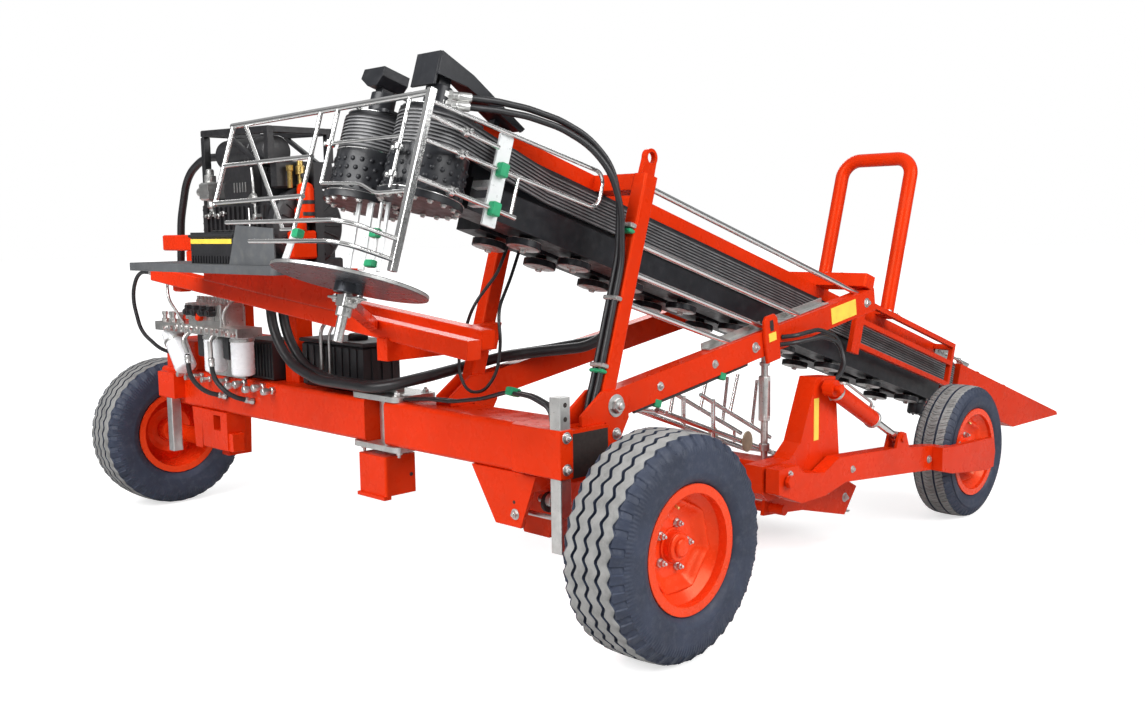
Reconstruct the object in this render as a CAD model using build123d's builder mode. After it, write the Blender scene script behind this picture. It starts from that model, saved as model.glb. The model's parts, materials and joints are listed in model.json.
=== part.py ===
"""Trailed seedling lifter: three wheels, a lateral rear beam, an inclined pair of
gripping belts, a turntable and table behind them, an engine at the left.

Millimetres.  While modelling, x runs forward from the rear axle, y to the left from
the right rear wheel and z up from the ground.  DATUM carries every piece to the
middle of the machine's plan.
"""
import os
from math import acos, atan2, cos, degrees, hypot, radians, sin, tan

from build123d import *

# ---------------------------------------------------------------- driving sizes
PLAN_CENTRE_X = 1583.31
PLAN_CENTRE_Y = 1700.0
DATUM = Location((-PLAN_CENTRE_X, -PLAN_CENTRE_Y, 0))

TRACK = 3400.0                     # rear wheels, centre to centre
REAR_R, REAR_W = 380.0, 264.0      # rear tyre radius and width
FRONT_R, FRONT_W = 317.5, 195.0    # front tyre radius and width
FRONT_X, FRONT_Y = 2394.0, 151.0   # front wheel centre
LEFT_X = -43.0                     # left rear wheel, set back a little

PITCH = 17.5                       # slope of the belts, degrees
BELT_Z = 1200.0                    # height of the belt frame's own origin
MID_Y = 640.0                      # plane between the two belts
GAP = 40.0                         # between the belts
BELT_N0, BELT_N1 = 270.0, 380.0    # belt edges above the frame origin
BELT_T = 10.0
LOOP_W = 140.0                     # one belt loop, run to run
DRUM_R = 125.0                     # over the belt, at the rear drum
DRUM_S = -650.0
NOSE_S = 3030.0

BEAM_X0, BEAM_X1 = -200.0, 0.0
BEAM_Z0, BEAM_Z1 = 580.0, 755.0
KING_X, KING_Y = -100.0, 1320.0

POST_S, POST_L, POST_W = 133.0, 66.0, 60.0   # place, then size along and across the belts
POST_N0, POST_N1 = -400.0, 455.0
SIDE_Y = (300.0, 985.0)            # right and left post planes

ARM_A, ARM_B = (50.0, 807.5), (1780.0, 1077.5)   # lift arm line, x and z
ARM_W, ARM_H = 60.0, 100.0

PIVOT_X, PIVOT_Z = 780.0, 450.0    # depth wheel arm's pin
UPPER_X, UPPER_Z = 1130.0, 765.0   # cylinder's pin on the tower
ROD_X, ROD_Z = 1660.0, 490.0       # cylinder's pin on the arm
ARM_Y0, ARM_Y1 = 50.0, 110.0
CYL_Y = 80.0

TABLE_S, TABLE_Y, TABLE_N = -830.0, 500.0, -200.0
TABLE_R = 237.0

C, S = cos(radians(PITCH)), sin(radians(PITCH))
pieces = {}                        # node name -> solid, in build order


def belt_plane(n=0.0, s=0.0, y=0.0):
    """Plane parallel to the belts: local x runs down the belts, local y to the left."""
    return Plane(origin=(s * C + n * S, y, BELT_Z - s * S + n * C),
                 x_dir=(C, 0, -S), z_dir=(S, 0, C))


def side_plane(y=0.0):
    """Upright plane seen from the left: local x forward, local y up, normal to the right."""
    return Plane(origin=(0, y, 0), x_dir=(1, 0, 0), z_dir=(0, -1, 0))


def cross_plane(x=0.0):
    """Upright plane across the machine: local x to the left, local y up, normal forward."""
    return Plane(origin=(x, 0, 0), x_dir=(0, 1, 0), z_dir=(1, 0, 0))


def spot(s, y, n):
    """Point of the belt frame as x, y, z."""
    return (s * C + n * S, y, BELT_Z - s * S + n * C)


# ---------------------------------------------------------------- wheels
# name, x, y, radius, width, rim seat radius, rim flange radius, outer side
WHEELS = (
    ("rear_right", 0.0, 0.0, REAR_R, REAR_W, 194.0, 216.0, -1),
    ("rear_left", LEFT_X, TRACK, REAR_R, REAR_W, 194.0, 216.0, 1),
    ("front", FRONT_X, FRONT_Y, FRONT_R, FRONT_W, 190.0, 209.0, -1),
)
HUB_BORE, SPINDLE_R = 25.5, 25.0
for wheel, wx, wy, rad, wid, seat, flange, out in WHEELS:
    hub_plane = Plane(origin=(wx, wy, rad), x_dir=(0, out, 0), z_dir=(1, 0, 0))
    half = wid / 2
    bead = half * 0.80
    lip = bead + 8
    with BuildPart() as tyre:
        with BuildSketch(hub_plane):
            with BuildLine():
                Polyline((-bead, seat), (-bead, flange + 4), (-half + 4, flange + 30))
                Line((-half + 4, flange + 30), (-half, (flange + rad) / 2))
                Polyline((-half, (flange + rad) / 2), (-half + 6, rad - 52), (-half + 24, rad - 14),
                         (-half + 50, rad), (half - 50, rad), (half - 24, rad - 14),
                         (half - 6, rad - 52), (half, (flange + rad) / 2),
                         (half - 4, flange + 30), (bead, flange + 4), (bead, seat), (-bead, seat))
            make_face()
        revolve(axis=Axis((wx, wy, rad), (0, 1, 0)), revolution_arc=360)
    pieces["tyre_" + wheel] = tyre.part

    disc = 18.0 if wheel != "front" else 8.0      # disc's place, towards the outer side
    with BuildPart() as rim:
        with BuildSketch(hub_plane):
            with BuildLine():
                Polyline((-lip, flange), (-bead, flange), (-bead, seat), (bead, seat), (bead, flange),
                         (lip, flange), (lip, seat - 9), (disc + 62, seat - 9), (disc + 38, seat - 40),
                         (disc, 118), (disc + 6, 92), (disc + 6, 56), (disc + 40, 50), (disc + 40, HUB_BORE),
                         (disc - 70, HUB_BORE), (disc - 70, 58), (disc - 8, 64), (disc - 8, 92),
                         (disc - 14, 118), (disc + 26, seat - 38), (disc + 44, seat - 14), (-lip, seat - 9),
                         (-lip, flange))
            make_face()
        revolve(axis=Axis((wx, wy, rad), (0, 1, 0)), revolution_arc=360)
    pieces["rim_" + wheel] = rim.part

# ---------------------------------------------------------------- rear beam
# name, y from, y to
for beam_name, y0, y1 in (("beam_right", 240.0, 1255.0), ("beam_left", 1385.0, 3120.0)):
    with BuildPart() as beam:
        with BuildSketch(Plane(origin=((BEAM_X0 + BEAM_X1) / 2, y0, (BEAM_Z0 + BEAM_Z1) / 2),
                               x_dir=(1, 0, 0), z_dir=(0, 1, 0))):
            RectangleRounded(BEAM_X1 - BEAM_X0, BEAM_Z1 - BEAM_Z0, 18)
        extrude(amount=y1 - y0)
    pieces[beam_name] = beam.part

HITCH_Z0, HITCH_Z1 = 372.0, 515.0   # mouth and top of the socket under the kingpin
with BuildPart() as kingpin:
    with BuildSketch(Plane.XY.offset(BEAM_Z0 - 22)):
        with Locations((KING_X, KING_Y)):
            RectangleRounded(210, 300, 30)
    extrude(amount=22)
    with BuildSketch(Plane.XY.offset(BEAM_Z0)):
        with Locations((KING_X, KING_Y)):
            Circle(58)
    extrude(amount=BEAM_Z1 - BEAM_Z0)
    with BuildSketch(Plane.XY.offset(BEAM_Z1)):
        with Locations((KING_X, KING_Y)):
            RectangleRounded(210, 300, 30)
    extrude(amount=22)
    with BuildSketch(Plane.XY.offset(BEAM_Z1 + 22)):
        with Locations((KING_X, KING_Y)):
            RegularPolygon(46, 6)
    extrude(amount=28)
    with BuildSketch(Plane.XY.offset(HITCH_Z1 + 15)):
        with Locations((KING_X, KING_Y)):
            Circle(40)
    extrude(amount=BEAM_Z0 - 22 - HITCH_Z1 - 15)
pieces["kingpin_flange"] = kingpin.part

with BuildPart() as hitch_box:
    with BuildSketch(Plane.XY.offset(HITCH_Z0)):
        with Locations((-120, 1353)):
            RectangleRounded(150, 182, 10)
            Rectangle(120, 152, mode=Mode.SUBTRACT)
    extrude(amount=HITCH_Z1 - HITCH_Z0)
    with BuildSketch(Plane.XY.offset(HITCH_Z1)):
        with Locations((-120, 1353)):
            RectangleRounded(150, 182, 10)
    extrude(amount=15)
    with BuildSketch(Plane.XY.offset(HITCH_Z0 - 14)):
        with Locations((-188, 1353)):
            Rectangle(34, 182)
    extrude(amount=14)
pieces["hitch_box"] = hitch_box.part

with BuildPart() as left_bracket:
    with BuildSketch(side_plane(2715)):
        with BuildLine():
            Polyline((-205, 580), (-205, 400), (-130, 400), (-110, 430), (-110, 580), (-205, 580))
        make_face()
    extrude(amount=235)
    with BuildSketch(cross_plane(-205)):
        with Locations((2575, 525)):
            Rectangle(65, 70)
    extrude(amount=100, mode=Mode.SUBTRACT)
    with BuildSketch(cross_plane(-200)):
        with Locations((2460, 442)):
            RectangleRounded(40, 84, 4)
    extrude(amount=60)
pieces["left_bracket"] = left_bracket.part

# ---------------------------------------------------------------- axles
# name, bracket y at top outer, bottom outer, bottom inner, top inner
BRACKETS = (
    ("right", 735.0, 610.0, 480.0, 400.0),
    ("left", 2720.0, 2735.0, 2800.0, 2820.0),
)
# x of each wall's rear face, thickness, z of its lower edge: rear wall, web under the beam, front wall
BRACKET_WALLS = ((BEAM_X0, 16.0, 386.0), (BEAM_X0 + 16, 120.0, 520.0), (BEAM_X0 + 136, 124.0, 325.0))
for side, top_far, low_far, low_near, top_near in BRACKETS:
    with BuildPart() as bracket:
        for x, thick, low in BRACKET_WALLS:
            part_way = (BEAM_Z0 - low) / (BEAM_Z0 - 386.0) if low > 386.0 else 1.0
            y_far, y_near = top_far + (low_far - top_far) * part_way, top_near + (low_near - top_near) * part_way
            with BuildSketch(cross_plane(x)):
                with BuildLine():
                    Polyline((top_far, BEAM_Z0), (y_far, low), (y_near, low), (top_near, BEAM_Z0), (top_far, BEAM_Z0))
                make_face()
            extrude(amount=thick)
    pieces["axle_bracket_" + side] = bracket.part

# name, x, y of the inner end, y of the shoulder, y of the tip
for side, ax, y_in, y_mid, y_tip in (("right", 0.0, 620.0, 62.0, -50.0), ("left", LEFT_X, 2725.0, TRACK - 62.0, TRACK + 50.0)):
    way = 1 if y_tip > y_in else -1
    with BuildPart() as axle:
        with BuildSketch(Plane(origin=(ax, y_in, REAR_R), x_dir=(1, 0, 0), z_dir=(0, way, 0))):
            Circle(42)
        extrude(amount=abs(y_mid - y_in))
        with BuildSketch(Plane(origin=(ax, y_mid, REAR_R), x_dir=(1, 0, 0), z_dir=(0, way, 0))):
            Circle(SPINDLE_R)
        extrude(amount=abs(y_tip - y_mid))
    pieces["axle_" + side] = axle.part

# y of the bar, z from, z to
with BuildPart() as legs:
    for y, z0, z1 in ((255.0, 350.0, 870.0), (2960.0, 350.0, 690.0)):
        with BuildSketch(Plane.XY.offset(z0)):
            with Locations((BEAM_X0 - 25, y)):
                RectangleRounded(50, 50, 5)
        extrude(amount=z1 - z0)
pieces["height_legs"] = legs.part

# ---------------------------------------------------------------- posts, arms and cross beams
# name, y, n of the top
for side, y, top in (("right", SIDE_Y[0], POST_N1), ("left", SIDE_Y[1], 300.0)):
    with BuildPart() as post:
        with BuildSketch(belt_plane(POST_N0)):
            with Locations((POST_S, y)):
                RectangleRounded(POST_L, POST_W, 8)
        extrude(amount=top - POST_N0)
    pieces["post_" + side] = post.part

arm_len = hypot(ARM_B[0] - ARM_A[0], ARM_B[1] - ARM_A[1])
arm_up = degrees(atan2(ARM_B[1] - ARM_A[1], ARM_B[0] - ARM_A[0]))
for side, y in zip(("right", "left"), SIDE_Y):
    with BuildPart() as arm:
        with BuildSketch(Plane(origin=(ARM_A[0], y, ARM_A[1]), x_dir=(cos(radians(arm_up)), 0, sin(radians(arm_up))),
                               z_dir=(0, -1, 0)).offset(-ARM_W / 2)):
            with Locations(((arm_len + 10) / 2, 0)):
                Rectangle(arm_len + 10, ARM_H)
        extrude(amount=ARM_W)
    pieces["arm_" + side] = arm.part

with BuildPart() as gussets:
    # y of the plate's right face, either side of each post
    for y in (257.0, 330.0, 942.0, 1015.0):
        with BuildSketch(side_plane(y + 13)):
            with BuildLine():
                Polyline((-120, BEAM_Z1), (0, BEAM_Z1), (0, 650), (45, 650), (115, 760), (105, 832), (50, 862),
                         (-15, 862), (-120, BEAM_Z1 + 35), (-120, BEAM_Z1))
            make_face()
        extrude(amount=13)
pieces["pivot_plates"] = gussets.part

CROSS_S, CROSS_L, CROSS_H = 1680.0, 80.0, 60.0
with BuildPart() as cross:
    with BuildSketch(belt_plane(POST_N1)):
        with Locations((CROSS_S, (SIDE_Y[0] + SIDE_Y[1]) / 2)):
            RectangleRounded(CROSS_L, SIDE_Y[1] - SIDE_Y[0] + POST_W, 8)
    extrude(amount=CROSS_H)
pieces["cross_beam"] = cross.part

TOP_BEAM_W = 60.0
BELT_MID = (GAP + LOOP_W) / 2      # from the plane between the belts to each belt's middle
CARRIER_W = 128.0
with BuildPart() as stubs:
    # n from, n to, y from, y to: what ties each post to the belts
    for n0, n1, y0, y1 in ((395.0, POST_N1, SIDE_Y[0] + POST_W / 2, MID_Y - BELT_MID - TOP_BEAM_W / 2),
                           (185.0, 250.0, MID_Y + BELT_MID + CARRIER_W / 2, SIDE_Y[1] - POST_W / 2)):
        with BuildSketch(belt_plane(n0)):
            with Locations((POST_S, (y0 + y1) / 2)):
                Rectangle(POST_L - 6, y1 - y0)
        extrude(amount=n1 - n0)
pieces["post_stubs"] = stubs.part

EYE_R = 20.0
# name, s of the plate's middle, n of its foot, y of the plate's middle
for eye_name, s, n0, y in (("lifting_eye_post", POST_S, POST_N1, SIDE_Y[0]),):
    with BuildPart() as eye:
        with BuildSketch(Plane(origin=spot(s, y + 10, n0), x_dir=(C, 0, -S), z_dir=(0, -1, 0))):
            with BuildLine():
                Polyline((-33, 0), (33, 0), (30, 64), (-30, 64), (-33, 0))
            make_face()
            with Locations((0, 66)):
                Circle(32)
                Circle(EYE_R, mode=Mode.SUBTRACT)
        extrude(amount=20)
    pieces[eye_name] = eye.part

# ---------------------------------------------------------------- belts
# outer run: it leaves its straight line at TURN_S and meets the drum at LEAVE_S, LEAVE_W from the inner run
TURN_S = -140.0
leave = atan2(LOOP_W - DRUM_R, TURN_S - DRUM_S) + acos(DRUM_R / hypot(TURN_S - DRUM_S, LOOP_W - DRUM_R))
LEAVE_C, LEAVE_D = cos(leave), sin(leave)
LEAVE_S, LEAVE_W = DRUM_S + DRUM_R * LEAVE_C, DRUM_R + DRUM_R * LEAVE_D
LOWER_S0 = {"right": -470.0, "left": -250.0}   # rear end of each lower carrier box
CARRIER_S0, CARRIER_S1, CARRIER_N0 = -470.0, 2910.0, 148.0
for side, sgn in (("right", -1), ("left", 1)):
    y_in = MID_Y + sgn * GAP / 2
    y_mid = y_in + sgn * LOOP_W / 2
    y_drum = y_in + sgn * DRUM_R
    with BuildPart() as belt:
        with BuildSketch(belt_plane(BELT_N0)):
            with Locations(((DRUM_S + NOSE_S) / 2, y_mid)):
                SlotCenterToCenter(NOSE_S - DRUM_S, LOOP_W)
            with Locations((DRUM_S, y_drum)):
                Circle(DRUM_R)
            with BuildLine():
                Polyline((TURN_S, y_mid), (TURN_S, y_in + sgn * LOOP_W), (LEAVE_S, y_in + sgn * LEAVE_W), (DRUM_S, y_drum),
                         (TURN_S, y_mid))
            make_face()
            with Locations(((DRUM_S + NOSE_S) / 2, y_mid)):
                SlotCenterToCenter(NOSE_S - DRUM_S, LOOP_W - 2 * BELT_T, mode=Mode.SUBTRACT)
            with Locations((DRUM_S, y_drum)):
                Circle(DRUM_R - BELT_T, mode=Mode.SUBTRACT)
            with BuildLine():
                Polyline((TURN_S, y_mid), (TURN_S, y_in + sgn * (LOOP_W - BELT_T)),
                         (LEAVE_S - BELT_T * LEAVE_C, y_in + sgn * (LEAVE_W - BELT_T * LEAVE_D)), (DRUM_S, y_drum), (TURN_S, y_mid))
            make_face(mode=Mode.SUBTRACT)
        extrude(amount=BELT_N1 - BELT_N0)
    pieces["belt_" + side] = belt.part

    with BuildPart() as drum:
        # n from, n to, radius
        for n0, n1, r in ((100.0, 122.0, DRUM_R + 12), (122.0, BELT_N0 - 5, DRUM_R), (BELT_N0 - 5, 395.0, DRUM_R - BELT_T)):
            with BuildSketch(belt_plane(n0)):
                with Locations((DRUM_S, y_drum)):
                    Circle(r)
            extrude(amount=n1 - n0)
    pieces["drum_" + side] = drum.part

    with BuildPart() as carrier:
        # n from, n to, width, rear end: wide box below the belt, narrow box inside it
        for n0, n1, w, s0 in ((CARRIER_N0, 255.0, CARRIER_W, LOWER_S0[side]), (255.0, 395.0, 96.0, CARRIER_S0)):
            with BuildSketch(belt_plane(n0)):
                with Locations(((s0 + CARRIER_S1) / 2, y_mid)):
                    Rectangle(CARRIER_S1 - s0, w)
            extrude(amount=n1 - n0)
    pieces["belt_carrier_" + side] = carrier.part

    with BuildPart() as top_beam:
        with BuildSketch(belt_plane(395)):
            with Locations((1270, y_mid)):
                Rectangle(3540, TOP_BEAM_W)
        extrude(amount=60)
    pieces["top_beam_" + side] = top_beam.part

    # plate from the top beam's end over the drum, with the drum's motor on it
    with BuildPart() as motor:
        with BuildSketch(belt_plane(395)):
            with Locations((-615, (y_drum + y_mid) / 2)):
                RectangleRounded(230, 170, 20)
        extrude(amount=12)
        with BuildSketch(belt_plane(407)):
            with Locations((DRUM_S - 20, y_drum)):
                Circle(42)
        extrude(amount=72)
    pieces["drum_motor_" + side] = motor.part

HOOD_T = 8.0
y_right, y_left = MID_Y - GAP / 2 - DRUM_R, MID_Y + GAP / 2 + DRUM_R
with BuildPart() as hood_left:
    add(pieces["drum_motor_left"])
    with BuildSketch(belt_plane(479)):
        with Locations((DRUM_S - 20, y_left)):
            RectangleRounded(50, 46, 6)
    extrude(amount=24)
    with BuildSketch(Plane(origin=spot(DRUM_S - 75, 0, 0), x_dir=(0, 1, 0), z_dir=(C, 0, -S))):
        with BuildLine():
            Polyline((y_left - 26, 495), (y_left + 26, 495), (y_left + 72, 524), (y_left + 64, 556), (y_left - 48, 556),
                     (y_left - 48, 524), (y_left - 26, 495))
        make_face()
    extrude(amount=105)
pieces["drum_motor_left"] = hood_left.part

with BuildPart() as hood_right:
    add(pieces["drum_motor_right"])
    with BuildSketch(Plane(origin=spot(0, y_right + 78, 0), x_dir=(C, 0, -S), z_dir=(0, -1, 0))):
        with BuildLine():
            Polyline((-724, 468), (-724, 576), (-584, 550), (-330, 466), (-330, 466 - HOOD_T), (-586, 550 - HOOD_T),
                     (-724 + HOOD_T, 576 - HOOD_T - 2), (-724 + HOOD_T, 468), (-724, 468))
        make_face()
    extrude(amount=118)
    with BuildSketch(Plane(origin=spot(0, y_right - 40, 0), x_dir=(C, 0, -S), z_dir=(0, -1, 0))):
        with BuildLine():
            Polyline((-722, 500), (-722, 575), (-584, 549), (-331, 465), (-345, 448), (-600, 505), (-722, 500))
        make_face()
    extrude(amount=HOOD_T)
    with BuildSketch(belt_plane(479)):
        with Locations((DRUM_S - 20, y_right)):
            RectangleRounded(50, 46, 6)
    extrude(amount=74)
    # legs on the right top beam, s of the leg
    with BuildSketch(belt_plane(455)):
        with Locations((-390, y_right + 45)):
            Rectangle(24, 30)
    extrude(amount=24)
pieces["drum_motor_right"] = hood_right.part

with BuildPart() as nose_pulleys:
    for sgn in (-1, 1):
        with BuildSketch(belt_plane(BELT_N0 - 8)):
            with Locations((NOSE_S, MID_Y + sgn * (GAP + LOOP_W) / 2)):
                Circle(LOOP_W / 2 - BELT_T)
        extrude(amount=395 - BELT_N0 + 8)
pieces["nose_pulleys"] = nose_pulleys.part

# flat idlers hung under the carriers: s positions
IDLER_S = (-140.0, 120.0, 420.0, 760.0, 1120.0, 1500.0, 1900.0, 2300.0, 2700.0)
for side, sgn in (("right", -1), ("left", 1)):
    y_mid = MID_Y + sgn * (GAP + LOOP_W) / 2
    with BuildPart() as idlers:
        for s in IDLER_S:
            with BuildSketch(belt_plane(CARRIER_N0 - 36)):
                with Locations((s, y_mid)):
                    Circle(62)
            extrude(amount=22)
            with BuildSketch(belt_plane(CARRIER_N0 - 14)):
                with Locations((s, y_mid)):
                    Circle(20)
            extrude(amount=14)
    pieces["idlers_" + side] = idlers.part

HOOP_S, HOOP_Y0, HOOP_Y1, HOOP_TOP, HOOP_R = 2250.0, 490.0, 880.0, 1275.0, 34.0
with BuildPart() as hoop:
    with BuildSketch(belt_plane(455)):
        with Locations((HOOP_S, (HOOP_Y0 + HOOP_Y1) / 2)):
            RectangleRounded(110, HOOP_Y1 - HOOP_Y0 + 110, 15)
    extrude(amount=18)
    with BuildLine(Plane(origin=spot(HOOP_S, 0, 0), x_dir=(0, 1, 0), z_dir=(C, 0, -S))) as hoop_path:
        FilletPolyline((HOOP_Y0, 473), (HOOP_Y0, HOOP_TOP), (HOOP_Y1, HOOP_TOP), (HOOP_Y1, 473), radius=90)
    with BuildSketch(belt_plane(473)):
        with Locations((HOOP_S, HOOP_Y0)):
            Circle(HOOP_R)
    sweep(path=hoop_path.wires()[0])
pieces["hoop"] = hoop.part

# ---------------------------------------------------------------- guards of bright tube
TUBE_R = 11.0
# n of the tube, s of its front end
with BuildPart() as side_tubes:
    for n, s1 in ((420.0, 1700.0), (215.0, 1325.0), (110.0, 1113.0), (0.0, 890.0)):
        with BuildSketch(Plane(origin=spot(POST_S + POST_L / 2, SIDE_Y[0], n), x_dir=(0, 1, 0), z_dir=(C, 0, -S))):
            Circle(TUBE_R)
        extrude(amount=s1 - POST_S - POST_L / 2)
pieces["side_tubes"] = side_tubes.part

# rails behind the drums, all in the plane RAIL_S
RAIL_S, RAIL_Y0, RAIL_Y1 = -800.0, 350.0, 1500.0
# radius, then y and n of both ends
RAILS = (
    (10.0, RAIL_Y0 - 10, 400.0, RAIL_Y1 + 9, 380.0),
    (8.0, 922.0, 232.0, RAIL_Y1 + 8, 228.0),
    (8.5, 922.0, 96.0, RAIL_Y1 + 8, 86.0),
    (9.0, RAIL_Y1, 78.0, RAIL_Y1, 385.0),
    (7.5, 930.0, -115.0, 930.0, 390.0),
    (7.0, 1000.0, -17.0, 1420.0, 382.0),
    (7.5, 830.0, 135.0, 830.0, 392.0),
    (6.5, 452.0, 108.0, 452.0, 398.0),
    (6.0, 446.0, 270.0, 836.0, 271.0),
)
with BuildPart() as rail_frame:
    for r, ya, na, yb, nb in RAILS:
        run = hypot(yb - ya, nb - na)
        uy, un = (yb - ya) / run, (nb - na) / run
        with BuildSketch(Plane(origin=spot(RAIL_S, ya, na), x_dir=(C, 0, -S), z_dir=(un * S, uy, un * C))):
            Circle(r)
        extrude(amount=run)
    with BuildSketch(belt_plane(-150)):
        with Locations((RAIL_S, RAIL_Y0)):
            RectangleRounded(24, 24, 3)
    extrude(amount=560)
    # y of the stubs that hold the frame on the drum plates
    for y in (MID_Y - 130, MID_Y + 130):
        with BuildSketch(Plane(origin=spot(RAIL_S, y, 400), x_dir=(0, 1, 0), z_dir=(C, 0, -S))):
            Circle(5)
        extrude(amount=-RAIL_S - 730)
    # bars that carry the lower end of the second strut
    with BuildSketch(Plane(origin=spot(RAIL_S, 920, -17), x_dir=(C, 0, -S), z_dir=(0, 1, 0))):
        Circle(6)
    extrude(amount=90)
pieces["rail_frame"] = rail_frame.part

# rails round the turntable: n, y of the far end
with BuildPart() as table_rails:
    for n, y1 in ((-55.0, 1000.0), (-117.0, 830.0)):
        with BuildLine() as table_path:
            FilletPolyline(spot(RAIL_S - 12, RAIL_Y0, n), spot(-1000, RAIL_Y0, n), spot(-1000, y1, n), radius=70)
        with BuildSketch(Plane(origin=spot(RAIL_S - 12, RAIL_Y0, n), x_dir=(0, 1, 0), z_dir=(-C, 0, S))):
            Circle(7)
        sweep(path=table_path.wires()[0])
pieces["table_rails"] = table_rails.part

# rails beside the drums: a hairpin from the near post and two straight rails
BELT_RAIL_Y = RAIL_Y0
with BuildPart() as belt_rails:
    with BuildLine() as hairpin:
        FilletPolyline(spot(RAIL_S + 12, BELT_RAIL_Y, 375), spot(-20, BELT_RAIL_Y, 412), spot(-20, BELT_RAIL_Y, 285),
                       spot(RAIL_S + 12, BELT_RAIL_Y, 257), radius=42)
    rise = atan2(412 - 375, -20 - RAIL_S - 12)
    with BuildSketch(Plane(origin=spot(RAIL_S + 12, BELT_RAIL_Y, 375), x_dir=(0, 1, 0),
                           z_dir=(C * cos(rise) + S * sin(rise), 0, -S * cos(rise) + C * sin(rise)))):
        Circle(7)
    sweep(path=hairpin.wires()[0])
    # n, s of the front end
    for n, s1 in ((333.0, -505.0), (142.0, -380.0)):
        with BuildSketch(Plane(origin=spot(RAIL_S + 12, BELT_RAIL_Y, n), x_dir=(0, 1, 0), z_dir=(C, 0, -S))):
            Circle(8)
        extrude(amount=s1 - RAIL_S - 12)
pieces["belt_rails"] = belt_rails.part

with BuildPart() as rail_plate:
    with BuildSketch(Plane(origin=spot(-472, BELT_RAIL_Y + 18, 236), x_dir=(C, 0, -S), z_dir=(0, -1, 0))):
        RectangleRounded(55, 300, 4)
    extrude(amount=10)
    # n of the spacers to the belt carrier
    for n in (170.0, 230.0):
        with BuildSketch(Plane(origin=spot(-457, BELT_RAIL_Y + 18, n), x_dir=(C, 0, -S), z_dir=(0, 1, 0))):
            Rectangle(24, 24)
        extrude(amount=MID_Y - BELT_MID - CARRIER_W / 2 - BELT_RAIL_Y - 18)
pieces["rail_plate"] = rail_plate.part

GUARD_Y, GUARD_W, GUARD_S0, GUARD_S1 = 420.0, 24.0, 1880.0, 2865.0
with BuildPart() as lower_guard:
    # n of the rails
    for n in (436.0, 341.0, 228.0):
        with BuildSketch(belt_plane(n)):
            with Locations(((GUARD_S0 + GUARD_S1) / 2, GUARD_Y)):
                Rectangle(GUARD_S1 - GUARD_S0, GUARD_W)
        extrude(amount=GUARD_W)
    # s of each end piece, its length along the belts, n of its foot
    for s, run, n0 in ((GUARD_S0 + 5, 70.0, 195.0), (GUARD_S1 - 12, 24.0, 228.0)):
        with BuildSketch(belt_plane(n0)):
            with Locations((s, GUARD_Y)):
                Rectangle(run, GUARD_W)
        extrude(amount=460 - n0)
        y0, y1 = GUARD_Y + GUARD_W / 2, MID_Y - BELT_MID - TOP_BEAM_W / 2
        with BuildSketch(belt_plane(424)):
            with Locations((s, (y0 + y1) / 2)):
                Rectangle(24, y1 - y0)
        extrude(amount=28)
pieces["lower_guard"] = lower_guard.part

# ---------------------------------------------------------------- crop dividers
for side, sgn in (("right", -1), ("left", 1)):
    y_mid = MID_Y + sgn * (GAP + LOOP_W) / 2
    with BuildPart() as divider:
        with BuildSketch(Plane(origin=spot(0, y_mid + 200, 0), x_dir=(C, 0, -S), z_dir=(0, -1, 0))):
            with BuildLine():
                Polyline((3104, 400), (3104, 190), (3800, 175), (4340, 350), (4320, 366), (3104, 400))
            make_face()
        extrude(amount=400)
        with BuildSketch(belt_plane(150)):
            with BuildLine():
                Polyline((3104, y_mid - 72), (3104, y_mid + 72), (4340, y_mid + sgn * 130 + 14),
                         (4340, y_mid + sgn * 130 - 14), (3104, y_mid - 72))
            make_face()
        extrude(amount=300, mode=Mode.INTERSECT)
        with BuildSketch(belt_plane(395)):
            with Locations((3075, y_mid)):
                Rectangle(70, 60)
        extrude(amount=5)
    pieces["divider_" + side] = divider.part

# ---------------------------------------------------------------- turntable and table
with BuildPart() as turntable:
    with BuildSketch(belt_plane(TABLE_N)):
        with Locations((TABLE_S, TABLE_Y)):
            Circle(TABLE_R)
    extrude(amount=12)
    with BuildSketch(belt_plane(TABLE_N - 30)):
        with Locations((TABLE_S, TABLE_Y)):
            Circle(45)
    extrude(amount=30)
    with BuildSketch(belt_plane(TABLE_N - 30)):
        with Locations((TABLE_S, TABLE_Y)):
            Circle(15.5)
    extrude(amount=42, mode=Mode.SUBTRACT)
pieces["turntable"] = turntable.part

with BuildPart() as table_shaft:
    with BuildSketch(belt_plane(TABLE_N - 176)):
        with Locations((TABLE_S, TABLE_Y)):
            Circle(15)
    extrude(amount=184)
    with BuildSketch(belt_plane(TABLE_N - 70)):
        with Locations((TABLE_S, TABLE_Y)):
            RectangleRounded(46, 46, 6)
    extrude(amount=34)
pieces["turntable_bearing"] = table_shaft.part

PLAT_Y0, PLAT_Z0, PLAT_Y1, PLAT_Z1 = 550.0, 1030.0, 2700.0, 1235.0
plat_up = atan2(PLAT_Z1 - PLAT_Z0, PLAT_Y1 - PLAT_Y0)
plat_len = hypot(PLAT_Z1 - PLAT_Z0, PLAT_Y1 - PLAT_Y0)
# name, x of the arm's middle, start and end along the arm
for plat_name, x, start, end in (("platform_arm_rear", -400.0, -80.0, plat_len), ("platform_arm_front", -215.0, 60.0, 1240.0)):
    with BuildPart() as plat:
        with BuildSketch(Plane(origin=(x, PLAT_Y0 + start * cos(plat_up), PLAT_Z0 + start * sin(plat_up)), x_dir=(1, 0, 0),
                               z_dir=(0, cos(plat_up), sin(plat_up)))):
            RectangleRounded(60, 66, 6)
        extrude(amount=end - start)
    pieces[plat_name] = plat.part

with BuildPart() as platform_cross:
    with BuildSketch(side_plane(950)):
        with BuildLine():
            Polyline((-440, 960), (70, 960), (100, 1060), (-440, 1040), (-440, 960))
        make_face()
    extrude(amount=60)
pieces["platform_cross"] = platform_cross.part

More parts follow.
